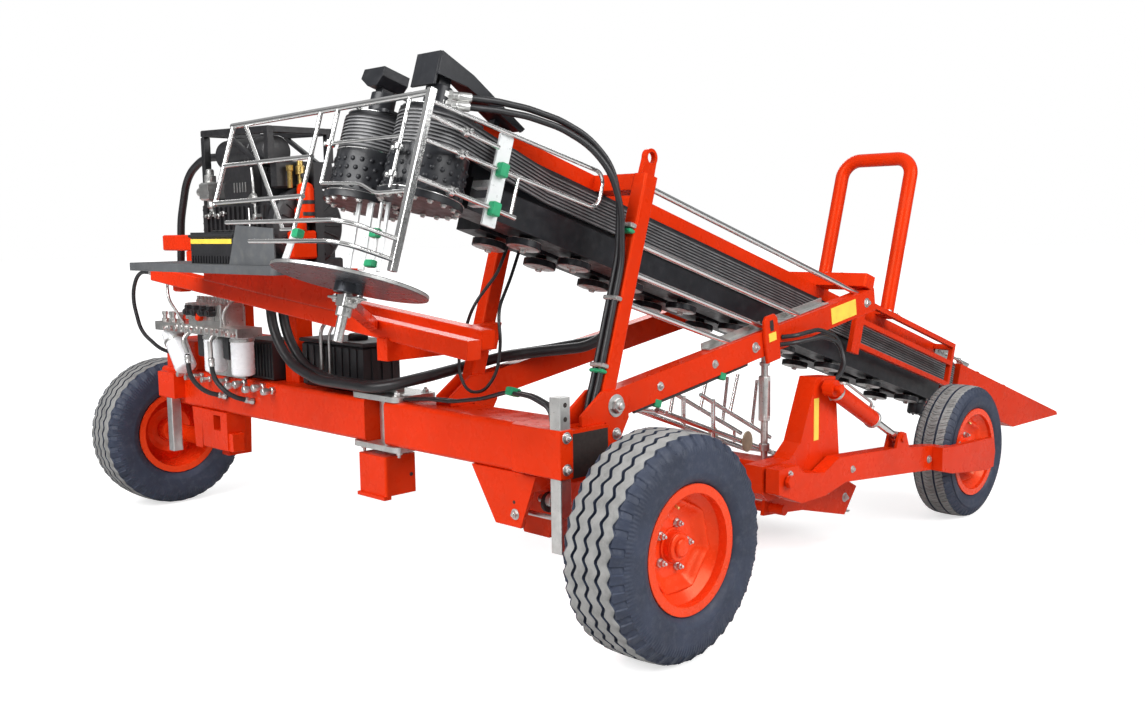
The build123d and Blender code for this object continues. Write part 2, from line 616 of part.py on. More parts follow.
BAR_A, BAR_B = (-868.0, TABLE_Y, 1208.0), (-412.0, 1000.0, 1075.0)
bar_len = hypot(BAR_B[0] - BAR_A[0], BAR_B[1] - BAR_A[1], BAR_B[2] - BAR_A[2])
bar_dir = tuple((b - a) / bar_len for a, b in zip(BAR_A, BAR_B))
with BuildPart() as table_bracket:
    with BuildSketch(Plane(origin=BAR_A, x_dir=(bar_dir[1], -bar_dir[0], 0), z_dir=bar_dir)):
        Rectangle(36, 32)
    extrude(amount=bar_len)
pieces["turntable_bracket"] = table_bracket.part

BOARD_Z, BOARD_T = 1268.0, 32.0
BOARD_X0, BOARD_X1, BOARD_Y0, BOARD_Y1 = -750.0, -500.0, 1100.0, 2220.0
with BuildPart() as table_board:
    with BuildSketch(Plane.XY.offset(BOARD_Z)):
        with Locations(((BOARD_X0 + BOARD_X1) / 2, (BOARD_Y0 + BOARD_Y1) / 2)):
            RectangleRounded(BOARD_X1 - BOARD_X0, BOARD_Y1 - BOARD_Y0, 20)
    extrude(amount=BOARD_T)
pieces["table_board"] = table_board.part

BRACKET_Y0, BRACKET_Y1, BRACKET_T = 1120.0, 2200.0, 12.0
with BuildPart() as board_bracket:
    with BuildSketch(Plane.XY.offset(BOARD_Z - BRACKET_T)):
        with Locations((-470, (BRACKET_Y0 + BRACKET_Y1) / 2)):
            Rectangle(140, BRACKET_Y1 - BRACKET_Y0)
    extrude(amount=BRACKET_T)
    with BuildSketch(cross_plane(-430)):
        with BuildLine():
            Polyline((BRACKET_Y0, PLAT_Z0 + (BRACKET_Y0 - PLAT_Y0) * 0.0953), (BRACKET_Y0, BOARD_Z - BRACKET_T), (BRACKET_Y1, BOARD_Z - BRACKET_T),
                     (BRACKET_Y1, PLAT_Z0 + (BRACKET_Y1 - PLAT_Y0) * 0.0953), (BRACKET_Y0, PLAT_Z0 + (BRACKET_Y0 - PLAT_Y0) * 0.0953))
        make_face()
    extrude(amount=25)
pieces["board_bracket"] = board_bracket.part

with BuildPart() as board_sheet:
    with BuildSketch(cross_plane(BOARD_X0 + 12)):
        with BuildLine():
            Polyline((1106, BOARD_Z + BOARD_T), (1420, BOARD_Z + BOARD_T), (1360, 1442), (1112, 1428), (1106, BOARD_Z + BOARD_T))
        make_face()
    extrude(amount=6)
pieces["board_sheet"] = board_sheet.part

with BuildPart() as battery:
    with BuildSketch(Plane.XY.offset(BOARD_Z + BOARD_T)):
        with Locations((-600, 1640)):
            RectangleRounded(175, 330, 10)
    extrude(amount=118)
pieces["battery"] = battery.part

# ---------------------------------------------------------------- engine and hydraulics
with BuildPart() as engine_stand:
    # y of the legs, width
    for y, w in ((2045.0, 110.0), (2520.0, 70.0)):
        with BuildSketch(Plane.XY.offset(BEAM_Z1)):
            with Locations((-75, y)):
                RectangleRounded(80, w, 6)
        extrude(amount=480)
    with BuildSketch(Plane.XY.offset(BEAM_Z1 + 480)):
        with Locations((-75, 2435)):
            RectangleRounded(420, 1150, 10)
    extrude(amount=16)
pieces["engine_stand"] = engine_stand.part

with BuildPart() as engine:
    # x, y, z from, then sizes
    for x, y, z, dx, dy, dz in ((-75.0, 2260.0, 1251.0, 330.0, 560.0, 300.0), (-75.0, 2240.0, 1551.0, 270.0, 420.0, 130.0),
                                (-75.0, 1945.0, 1251.0, 350.0, 70.0, 470.0)):
        with BuildSketch(Plane.XY.offset(z)):
            with Locations((x, y)):
                RectangleRounded(dx, dy, 20)
        extrude(amount=dz)
    with BuildSketch(Plane(origin=(-150, 2030, 1760), x_dir=(1, 0, 0), z_dir=(0, 1, 0))):
        Circle(70)
    extrude(amount=420)
    with BuildSketch(Plane.XY.offset(1660)):
        with Locations((-130, 2240)):
            Rectangle(80, 120)
    extrude(amount=70)
pieces["engine"] = engine.part

with BuildPart() as oil_tank:
    with BuildSketch(Plane.XY.offset(BEAM_Z1)):
        with Locations((30, 2940)):
            RectangleRounded(430, 340, 30)
    extrude(amount=140)
pieces["oil_tank"] = oil_tank.part

with BuildPart() as valve_panel:
    with BuildSketch(Plane.XY.offset(BEAM_Z1)):
        with Locations((-193, 2470)):
            Rectangle(14, 340)
    extrude(amount=330)
    with BuildSketch(Plane.XY.offset(960)):
        with Locations((-265, 2515)):
            RectangleRounded(130, 770, 8)
    extrude(amount=40)
    with BuildSketch(Plane.XY.offset(1000)):
        with Locations((-260, 2430)):
            RectangleRounded(120, 300, 8)
    extrude(amount=100)
pieces["valve_block"] = valve_panel.part

with BuildPart() as filters:
    # y and z of the foot's middle, sine of the lean, length
    for y, z, lean, length in ((2190.0, 800.0, 0.0, 160.0), (2430.0, 800.0, 0.0, 160.0), (2725.0, 787.0, 0.6, 200.0)):
        with BuildSketch(Plane(origin=(-270, y, z), x_dir=(1, 0, 0), z_dir=(0, lean, (1 - lean * lean) ** 0.5))):
            Circle(50)
        extrude(amount=length)
pieces["filters"] = filters.part

# ---------------------------------------------------------------- lower frame and share
with BuildPart() as share_beam:
    with BuildSketch(Plane(origin=(985, 200, 417), x_dir=(1, 0, 0), z_dir=(0, 1, 0))):
        RectangleRounded(120, 105, 10)
    extrude(amount=850)
pieces["share_beam"] = share_beam.part

with BuildPart() as lower_links:
    for y in (500.0, 720.0):
        with BuildSketch(cross_plane(60)):
            with Locations((y, 417)):
                RectangleRounded(60, 80, 8)
        extrude(amount=865)
pieces["lower_links"] = lower_links.part

PIN_R = 15.0
with BuildPart() as tower:
    with BuildSketch(side_plane(200)):
        with BuildLine():
            Polyline((715, 400), (760, 365), (1270, 365), (1245, 600), (1225, 800), (1085, 810), (975, 560),
                     (900, 505), (715, 505), (715, 400))
        make_face()
    extrude(amount=80)
    with BuildSketch(side_plane(120)):
        with Locations((PIVOT_X, PIVOT_Z)):
            Circle(PIN_R)
    extrude(amount=120 - ARM_Y0 + 8)
    with BuildSketch(side_plane(ARM_Y0 - 8)):
        with Locations((PIVOT_X, PIVOT_Z)):
            RegularPolygon(26, 6)
    extrude(amount=16)
    with BuildSketch(side_plane(120)):
        with Locations((UPPER_X, UPPER_Z)):
            Circle(12)
    extrude(amount=120 - 44)
    with BuildSketch(side_plane(44)):
        with Locations((UPPER_X, UPPER_Z)):
            RegularPolygon(20, 6)
    extrude(amount=14)
pieces["tower"] = tower.part

with BuildPart() as share_sides:
    for y in (320.0, 895.0):
        with BuildSketch(side_plane(y + 16)):
            with BuildLine():
                Polyline((1045, 465), (1045, 380), (1010, 225), (1120, 215), (1300, 195), (1640, 110), (1740, 225),
                         (1470, 360), (1120, 465), (1045, 465))
            make_face()
        extrude(amount=16)
pieces["share_sides"] = share_sides.part

with BuildPart() as share_blade:
    with BuildSketch(side_plane(895)):
        with BuildLine():
            Polyline((1480, 165), (1480, 150), (1700, 108), (1716, 114), (1480, 165))
        make_face()
    extrude(amount=559)
pieces["share_blade"] = share_blade.part

with BuildPart() as lower_tube:
    with BuildSketch(Plane(origin=(1062, 250, 250), x_dir=(1, 0, 0), z_dir=(0, 1, 0))):
        Circle(22)
    extrude(amount=70)
    with BuildSketch(Plane(origin=(1062, 336, 250), x_dir=(1, 0, 0), z_dir=(0, 1, 0))):
        Circle(22)
    extrude(amount=559)
pieces["lower_tube"] = lower_tube.part

with BuildPart() as turnbuckle:
    # radius, z from, z to
    for r, z0, z1 in ((14.0, 469.5, 640.0), (24.0, 640.0, 800.0), (14.0, 800.0, 900.0)):
        with BuildSketch(Plane.XY.offset(z0)):
            with Locations((985, SIDE_Y[0])):
                Circle(r)
        extrude(amount=z1 - z0)
pieces["turnbuckle"] = turnbuckle.part

# x and z of both ends, radius: rods of the soil shaker, in two like planes
SHAKER_RODS = (
    (620.0, 690.0, 1440.0, 390.0, 11.0),
    (900.0, 720.0, 1400.0, 470.0, 9.0),
    (985.0, 469.5, 985.0, 690.0, 10.0),
    (1350.0, 415.0, 1350.0, 500.0, 7.0),
    (1100.0, 610.0, 1160.0, 780.0, 7.5),
    (1262.0, 532.0, 1300.0, 740.0, 7.5),
    (700.0, 655.0, 740.0, 800.0, 7.5),
)
SHAKER_Y = (560.0, 720.0)
with BuildPart() as shaker:
    for y in SHAKER_Y:
        for xa, za, xb, zb, r in SHAKER_RODS:
            run = hypot(xb - xa, zb - za)
            with BuildSketch(Plane(origin=(xa, y, za), x_dir=(0, 1, 0), z_dir=((xb - xa) / run, 0, (zb - za) / run))):
                Circle(r)
            extrude(amount=run)
    # x, z of the ties across
    for x, z in ((660.0, 675.4), (1400.0, 404.6)):
        with BuildSketch(Plane(origin=(x, SHAKER_Y[0] - 18, z), x_dir=(1, 0, 0), z_dir=(0, 1, 0))):
            Circle(9)
        extrude(amount=SHAKER_Y[1] - SHAKER_Y[0] + 36)
pieces["soil_shaker"] = shaker.part

# ---------------------------------------------------------------- depth wheel arm and its cylinder
with BuildPart() as wheel_arm:
    with BuildSketch(side_plane(ARM_Y1)):
        with BuildLine():
            Polyline((725, 500), (725, 405), (880, 345), (1050, 345), (1200, 375), (1950, 305), (2040, 290), (2040, 402),
                     (1950, 415), (1590, 455), (1150, 485), (1040, 440), (900, 462), (850, 500), (725, 500))
        make_face()
        with Locations((PIVOT_X, PIVOT_Z)):
            Circle(PIN_R + 0.5, mode=Mode.SUBTRACT)
    extrude(amount=ARM_Y1 - ARM_Y0)
    with BuildSketch(side_plane(ARM_Y0)):
        with BuildLine():
            Polyline((1930, 306), (2030, 280), (2380, 240), (2455, 245), (2470, 317), (2455, 385), (2380, 392), (2030, 404),
                     (1930, 414), (1930, 306))
        make_face()
    extrude(amount=ARM_Y0)
    with BuildSketch(side_plane(ARM_Y0 + 1)):
        with Locations((2290, 330)):
            Rectangle(460, 260)
    extrude(amount=21, mode=Mode.SUBTRACT)
    # lug cheeks: y of the inner face
    for y in (ARM_Y0 + 12, ARM_Y1):
        with BuildSketch(side_plane(y)):
            with BuildLine():
                Polyline((1600, 440), (1720, 440), (1690, 510), (1630, 510), (1600, 440))
            make_face()
            with Locations((ROD_X, ROD_Z)):
                Circle(28)
        extrude(amount=12)
    # pin heads on the lug cheeks: y of the outer face
    for y in (ARM_Y1 + 8, ARM_Y0):
        with BuildSketch(side_plane(y)):
            with Locations((ROD_X, ROD_Z)):
                RegularPolygon(18, 6)
        extrude(amount=8)
    with BuildSketch(Plane(origin=(FRONT_X, 0, FRONT_R), x_dir=(1, 0, 0), z_dir=(0, 1, 0))):
        Circle(SPINDLE_R)
    extrude(amount=215)
pieces["wheel_arm"] = wheel_arm.part

cyl_len = hypot(ROD_X - UPPER_X, ROD_Z - UPPER_Z)
cyl_dir = ((ROD_X - UPPER_X) / cyl_len, 0, (ROD_Z - UPPER_Z) / cyl_len)
BARREL_R, ROD_R, BARREL_LEN = 35.0, 16.0, 370.0
with BuildPart() as barrel:
    with BuildSketch(Plane(origin=(UPPER_X + 30 * cyl_dir[0], CYL_Y, UPPER_Z + 30 * cyl_dir[2]), x_dir=(0, 1, 0), z_dir=cyl_dir)):
        Circle(BARREL_R)
    extrude(amount=BARREL_LEN - 30)
    with BuildSketch(side_plane(CYL_Y + 22)):
        with Locations((UPPER_X, UPPER_Z)):
            Circle(34)
    extrude(amount=44)
    with BuildSketch(side_plane(CYL_Y + 40)):
        with Locations((UPPER_X, UPPER_Z)):
            Circle(12.5)
    extrude(amount=80, mode=Mode.SUBTRACT)
    with BuildSketch(Plane(origin=(UPPER_X + 70 * cyl_dir[0], CYL_Y, UPPER_Z + 70 * cyl_dir[2]), x_dir=(0, 1, 0), z_dir=cyl_dir)):
        Circle(ROD_R + 0.5)
    extrude(amount=BARREL_LEN - 70, mode=Mode.SUBTRACT)
pieces["cylinder_barrel"] = barrel.part

with BuildPart() as rod:
    with BuildSketch(Plane(origin=(UPPER_X + 180 * cyl_dir[0], CYL_Y, UPPER_Z + 180 * cyl_dir[2]), x_dir=(0, 1, 0), z_dir=cyl_dir)):
        Circle(ROD_R)
    extrude(amount=cyl_len - 180)
    with BuildSketch(side_plane(CYL_Y + 13)):
        with Locations((ROD_X, ROD_Z)):
            Circle(26)
    extrude(amount=26)
    with BuildSketch(side_plane(CYL_Y + 17)):
        with Locations((ROD_X, ROD_Z)):
            Circle(12)
    extrude(amount=34)
pieces["cylinder_rod"] = rod.part

# ---------------------------------------------------------------- hoses held by the frame
# node, radius, largest bend radius, points of the route
HOSES = (
    ("beam_hose_front", 21.0, 400.0, ((-195, 1975, 1235), (-195, 1962, 1000), (-188, 1850, 860), (-180, 1660, 806), (-178, 1290, 806), (-10, 1175, 848),
                                      (120, 1110, 878), (225, 1000, 915), (330, 890, 935), (500, 800, 960), spot(640, 750, -20), spot(640, 750, CARRIER_N0))),
    ("beam_hose_rear", 21.0, 400.0, ((-247, 1985, 1235), (-247, 1972, 1000), (-240, 1855, 862), (-232, 1660, 808), (-230, 1250, 808), (-70, 1135, 848),
                                     (60, 1078, 878), (172, 985, 914), (270, 880, 932), (440, 755, 947), spot(560, 705, -20), spot(560, 705, CARRIER_N0))),
    ("post_hose_front", 11.0, 300.0, (spot(-650, 462, 458), spot(-585, 424, 470), spot(-500, 410, 492), spot(-380, 398, 514), spot(-250, 378, 522),
                                     spot(-130, 352, 506), spot(-20, 322, 440), spot(40, 312, 330), spot(84, 312, 150), spot(86, 312, -300),
                                     (-30, 312, 830), (-48, 312, 755))),
    ("post_hose_rear", 11.0, 300.0, (spot(-650, 462, 428), spot(-585, 422, 440), spot(-500, 406, 462), spot(-380, 390, 486), spot(-250, 366, 494),
                                    spot(-130, 334, 472), spot(-40, 300, 408), spot(30, 286, 300), spot(82, 285, 130), spot(86, 285, -300),
                                    (-30, 285, 830), (-48, 285, 755))),
    ("loop_cable", 6.0, 160.0, (spot(20, 745, CARRIER_N0), spot(0, 738, 40), (-120, 664, 1130), (-130, 642, 1017), (-130, 663, 906), (-130, 741, 830),
                                (-130, 830, 824), (-130, 876, 886), (-130, 872, 981), (-128, 790, 1141), spot(-60, 747, 40), spot(-40, 745, CARRIER_N0))),
    ("beam_line_front", 7.0, 200.0, ((-140, 1170, 766), (-150, 1000, 784), (-150, 869, 788), (-150, 711, 813), (-150, 570, 852), (-150, 450, 846),
                                     (-150, 356, 815), (-150, 345, 755))),
    ("beam_line_rear", 7.0, 200.0, ((-162, 1170, 766), (-172, 1000, 784), (-172, 869, 788), (-172, 711, 813), (-172, 570, 852), (-172, 450, 846),
                                    (-172, 356, 815), (-172, 345, 755))),
    ("tower_hose_outer", 9.0, 160.0, ((1060, 270, 965), (1092, 226, 970), (1250, 218, 985), (1385, 210, 945), (1400, 185, 850), (1320, 168, 775),
                                     (1225, 166, 750))),
    ("tower_hose_inner", 9.0, 160.0, ((1040, 270, 935), (1075, 222, 942), (1240, 190, 958), (1352, 186, 925), (1362, 160, 850), (1305, 140, 800),
                                     (1222, 138, 778))),
    ("arm_line", 7.0, 60.0, ((170, 284, 768.5), (505, 283, 818.4), (840, 284, 873.0))),
    ("tank_hose", 9.0, 160.0, ((-400, 2700, 1235), (-402, 2890, 1240), (-395, 2985, 1120), (-375, 2950, 950), (-300, 2885, 850), (-185, 2880, 832))),
    ("filter_hose_right", 11.0, 160.0, ((-345, 2335, 866), (-344, 2325, 770), (-300, 2260, 690), (-200, 2230, 660))),
    ("filter_hose_left", 11.0, 160.0, ((-345, 2555, 866), (-344, 2545, 760), (-300, 2500, 690), (-205, 2460, 660))),
    ("engine_hose", 18.0, 300.0, ((-150, 2960, 1251), (-150, 2935, 1480), (-150, 2850, 1690), (-150, 2680, 1764), (-150, 2450, 1760))),
)
for name, r, most, route in HOSES:
    first, second = Vector(*route[0]), Vector(*route[1])
    steps = [Vector(*b) - Vector(*a) for a, b in zip(route, route[1:])]
    # each bend as wide as the straights beside it leave room for
    bends = [min(most, 0.46 * min(a.length, b.length) / tan(radians(a.get_angle(b)) / 2)) for a, b in zip(steps, steps[1:])]
    with BuildPart() as hose:
        with BuildLine() as hose_path:
            FilletPolyline(*route, radius=bends)
        with BuildSketch(Plane(origin=first, z_dir=second - first)):
            Circle(r)
        sweep(path=hose_path.wires()[0])
    pieces[name] = hose.part

# ---------------------------------------------------------------- fitted joints
# piece, the pieces let into it or met by it
FITTED = (
    ("arm_right", ("post_right", "pivot_plates", "cross_beam", "turnbuckle")),
    ("arm_left", ("post_left", "pivot_plates", "cross_beam")),
    ("pivot_plates", ("post_right", "post_left")),
    ("post_right", ("beam_right",)),
    ("post_left", ("beam_right",)),
    ("side_tubes", ("post_right", "arm_right", "cross_beam")),
    ("axle_bracket_right", ("axle_right",)),
    ("axle_bracket_left", ("axle_left",)),
    ("lower_links", ("axle_bracket_right", "share_beam")),
    ("platform_cross", ("post_left", "platform_arm_rear", "platform_arm_front")),
    ("turntable_bracket", ("platform_arm_rear", "turntable_bearing")),
    ("board_bracket", ("platform_arm_rear",)),
    ("engine_stand", ("platform_arm_front", "platform_arm_rear")),
    ("lower_guard", ("arm_right", "cross_beam", "top_beam_right")),
    ("share_blade", ("share_sides",)),
    ("lower_tube", ("share_sides",)),
    ("share_sides", ("share_beam",)),
    ("rail_frame", ("drum_motor_right", "drum_motor_left")),
    ("table_rails", ("rail_frame",)),
    ("belt_rails", ("rail_frame",)),
    ("drum_motor_right", ("top_beam_right",)),
    ("loop_cable", ("belt_carrier_left", "post_left")),
    ("beam_line_front", ("kingpin_flange", "beam_right")),
    ("beam_line_rear", ("kingpin_flange", "beam_right")),
    ("tower_hose_outer", ("tower", "arm_right")),
    ("tower_hose_inner", ("tower", "arm_right")),
    ("arm_line", ("arm_right", "turnbuckle")),
    ("tank_hose", ("platform_arm_rear", "oil_tank")),
    ("filter_hose_right", ("beam_left",)),
    ("filter_hose_left", ("beam_left", "left_bracket")),
    ("engine_hose", ("engine_stand", "engine")),
    ("filters", ("valve_block",)),
    ("beam_hose_front", ("engine_stand", "kingpin_flange")),
    ("beam_hose_rear", ("engine_stand", "kingpin_flange")),
    ("post_hose_front", ("drum_motor_right", "beam_right")),
    ("post_hose_rear", ("drum_motor_right", "beam_right")),
    ("divider_right", ("nose_pulleys", "top_beam_right", "belt_right")),
    ("divider_left", ("nose_pulleys", "top_beam_left", "belt_left")),
)
for name, others in FITTED:
    with BuildPart() as fitted:
        add(pieces[name])
        for other in others:
            add(pieces[other], mode=Mode.SUBTRACT)
    pieces[name] = fitted.part

# ---------------------------------------------------------------- like pieces that share a node
# node, the pieces in it
GROUPS = (
    ("posts", ("post_right", "post_left")),
    ("lift_arms", ("arm_right", "arm_left")),
    ("axles", ("axle_right", "axle_left")),
    ("axle_brackets", ("axle_bracket_right", "axle_bracket_left")),
    ("drums", ("drum_right", "drum_left")),
    ("belt_carriers", ("belt_carrier_right", "belt_carrier_left")),
    ("top_beams", ("top_beam_right", "top_beam_left")),
    ("drum_motors", ("drum_motor_right", "drum_motor_left")),
    ("hoses", tuple(hose[0] for hose in HOSES)),
    ("guard_rails", ("table_rails", "belt_rails")),
    ("cross_members", ("cross_beam", "post_stubs")),
    ("dividers", ("divider_right", "divider_left")),
    ("belt_pulleys", ("nose_pulleys", "idlers_right", "idlers_left")),
    ("platform_arms", ("platform_arm_rear", "platform_arm_front")),
)
for name, members in GROUPS:
    with BuildPart() as group:
        for member in members:
            add(pieces.pop(member))
    pieces[name] = group.part

# ---------------------------------------------------------------- files
os.makedirs("parts", exist_ok=True)
for name, piece in pieces.items():
    with BuildPart() as finished:
        add(piece.moved(DATUM))
    finished.part.label = name
    export_step(finished.part, "parts/" + name + ".step")
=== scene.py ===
import json
from math import acos, atan2, cos, degrees, hypot, pi, radians, sin

import bpy
from mathutils import Matrix, Vector


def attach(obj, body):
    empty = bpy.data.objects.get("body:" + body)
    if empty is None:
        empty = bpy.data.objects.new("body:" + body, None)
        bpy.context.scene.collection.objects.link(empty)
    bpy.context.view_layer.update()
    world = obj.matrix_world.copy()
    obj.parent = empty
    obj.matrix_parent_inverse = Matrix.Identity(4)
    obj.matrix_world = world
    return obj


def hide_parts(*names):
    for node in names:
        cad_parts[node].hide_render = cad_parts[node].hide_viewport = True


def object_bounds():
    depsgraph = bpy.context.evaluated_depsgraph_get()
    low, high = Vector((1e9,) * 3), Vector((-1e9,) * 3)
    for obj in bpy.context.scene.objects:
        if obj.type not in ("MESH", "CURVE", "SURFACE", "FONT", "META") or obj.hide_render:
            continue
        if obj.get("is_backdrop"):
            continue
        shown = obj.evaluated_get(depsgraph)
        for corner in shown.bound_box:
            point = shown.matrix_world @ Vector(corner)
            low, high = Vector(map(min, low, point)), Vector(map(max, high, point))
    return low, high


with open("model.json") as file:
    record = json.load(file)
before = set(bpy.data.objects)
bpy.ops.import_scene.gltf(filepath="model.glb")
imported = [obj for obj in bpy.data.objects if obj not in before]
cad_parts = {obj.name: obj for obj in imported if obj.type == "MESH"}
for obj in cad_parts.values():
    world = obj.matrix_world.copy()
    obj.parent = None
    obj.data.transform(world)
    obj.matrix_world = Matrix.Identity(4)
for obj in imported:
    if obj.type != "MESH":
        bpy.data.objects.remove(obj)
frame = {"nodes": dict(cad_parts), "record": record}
cad_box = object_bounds()
nodes = frame["nodes"]

# plan shift from the wheel frame (x from the rear axle, y from the right rear wheel) to the row frame
CX, CY = 1.58331, 1.7
X, Y, Z = Vector((1, 0, 0)), Vector((0, 1, 0)), Vector((0, 0, 1))

# frame of the belts: s down the belts, n square to them
BELT_C, BELT_S = cos(radians(17.5)), sin(radians(17.5))
DOWN, UP = Vector((BELT_C, 0, -BELT_S)), Vector((BELT_S, 0, BELT_C))


def spot(s, y, n):
    return Vector((s * BELT_C + n * BELT_S, y, 1.2 - s * BELT_S + n * BELT_C))


# ------------------------------------------------------------------ materials
def look(name, colour, vary=0.12, rough=(0.3, 0.45), metal=0.0, scale=5.0, grain=160.0, bump=0.05, stretch=(1, 1, 1),
         dust=None, coat=0.0, edge=0.0, specular=0.5, tint=None):
    """Object-space colour mottle, roughness patches and a fine bump; optional dust and a soft edge."""
    mat = bpy.data.materials.new(name)
    mat.use_nodes = True
    mat.diffuse_color = (*colour, 1)
    nt = mat.node_tree
    b = nt.nodes["Principled BSDF"]
    b.inputs["Metallic"].default_value = metal
    b.inputs["Specular IOR Level"].default_value = specular
    if tint:
        b.inputs["Specular Tint"].default_value = (*tint, 1)
    if coat:
        b.inputs["Coat Weight"].default_value = coat
        b.inputs["Coat Roughness"].default_value = 0.12
    co = nt.nodes.new("ShaderNodeTexCoord")
    mp = nt.nodes.new("ShaderNodeMapping")
    mp.inputs["Scale"].default_value = stretch
    nt.links.new(co.outputs["Object"], mp.inputs["Vector"])

    def noise(s, detail=4.0, rough_n=0.55):
        n = nt.nodes.new("ShaderNodeTexNoise")
        n.inputs["Scale"].default_value = s
        n.inputs["Detail"].default_value = detail
        n.inputs["Roughness"].default_value = rough_n
        nt.links.new(mp.outputs["Vector"], n.inputs["Vector"])
        return n

    n1 = noise(scale)
    ramp = nt.nodes.new("ShaderNodeValToRGB")
    ramp.color_ramp.elements[0].position = 0.32
    ramp.color_ramp.elements[1].position = 0.70
    ramp.color_ramp.elements[0].color = (*[c * (1 - vary) for c in colour], 1)
    ramp.color_ramp.elements[1].color = (*[min(1.0, c * (1 + vary)) for c in colour], 1)
    nt.links.new(n1.outputs["Fac"], ramp.inputs["Fac"])
    colour_out = ramp.outputs["Color"]
    if dust:
        n4 = noise(scale * 4.3, 6.0, 0.65)
        dr = nt.nodes.new("ShaderNodeValToRGB")
        dr.color_ramp.elements[0].position = 0.50
        dr.color_ramp.elements[1].position = 0.74
        dr.color_ramp.elements[0].color = (0, 0, 0, 1)
        dr.color_ramp.elements[1].color = (dust[3], dust[3], dust[3], 1)
        nt.links.new(n4.outputs["Fac"], dr.inputs["Fac"])
        mix = nt.nodes.new("ShaderNodeMix")
        mix.data_type = "RGBA"
        nt.links.new(dr.outputs["Color"], mix.inputs["Factor"])
        nt.links.new(colour_out, mix.inputs["A"])
        mix.inputs["B"].default_value = (*dust[:3], 1)
        colour_out = mix.outputs["Result"]
    nt.links.new(colour_out, b.inputs["Base Color"])
    n2 = noise(scale * 6.0)
    mr = nt.nodes.new("ShaderNodeMapRange")
    mr.inputs["From Min"].default_value = 0.3
    mr.inputs["From Max"].default_value = 0.7
    mr.inputs["To Min"].default_value = rough[0]
    mr.inputs["To Max"].default_value = rough[1]
    nt.links.new(n2.outputs["Fac"], mr.inputs["Value"])
    nt.links.new(mr.outputs["Result"], b.inputs["Roughness"])
    n3 = noise(grain, 3.0)
    bp = nt.nodes.new("ShaderNodeBump")
    bp.inputs["Strength"].default_value = bump
    bp.inputs["Distance"].default_value = 0.002
    nt.links.new(n3.outputs["Fac"], bp.inputs["Height"])
    if edge:
        bv = nt.nodes.new("ShaderNodeBevel")
        bv.samples = 4
        bv.inputs["Radius"].default_value = edge
        nt.links.new(bv.outputs["Normal"], bp.inputs["Normal"])
    nt.links.new(bp.outputs["Normal"], b.inputs["Normal"])
    return mat


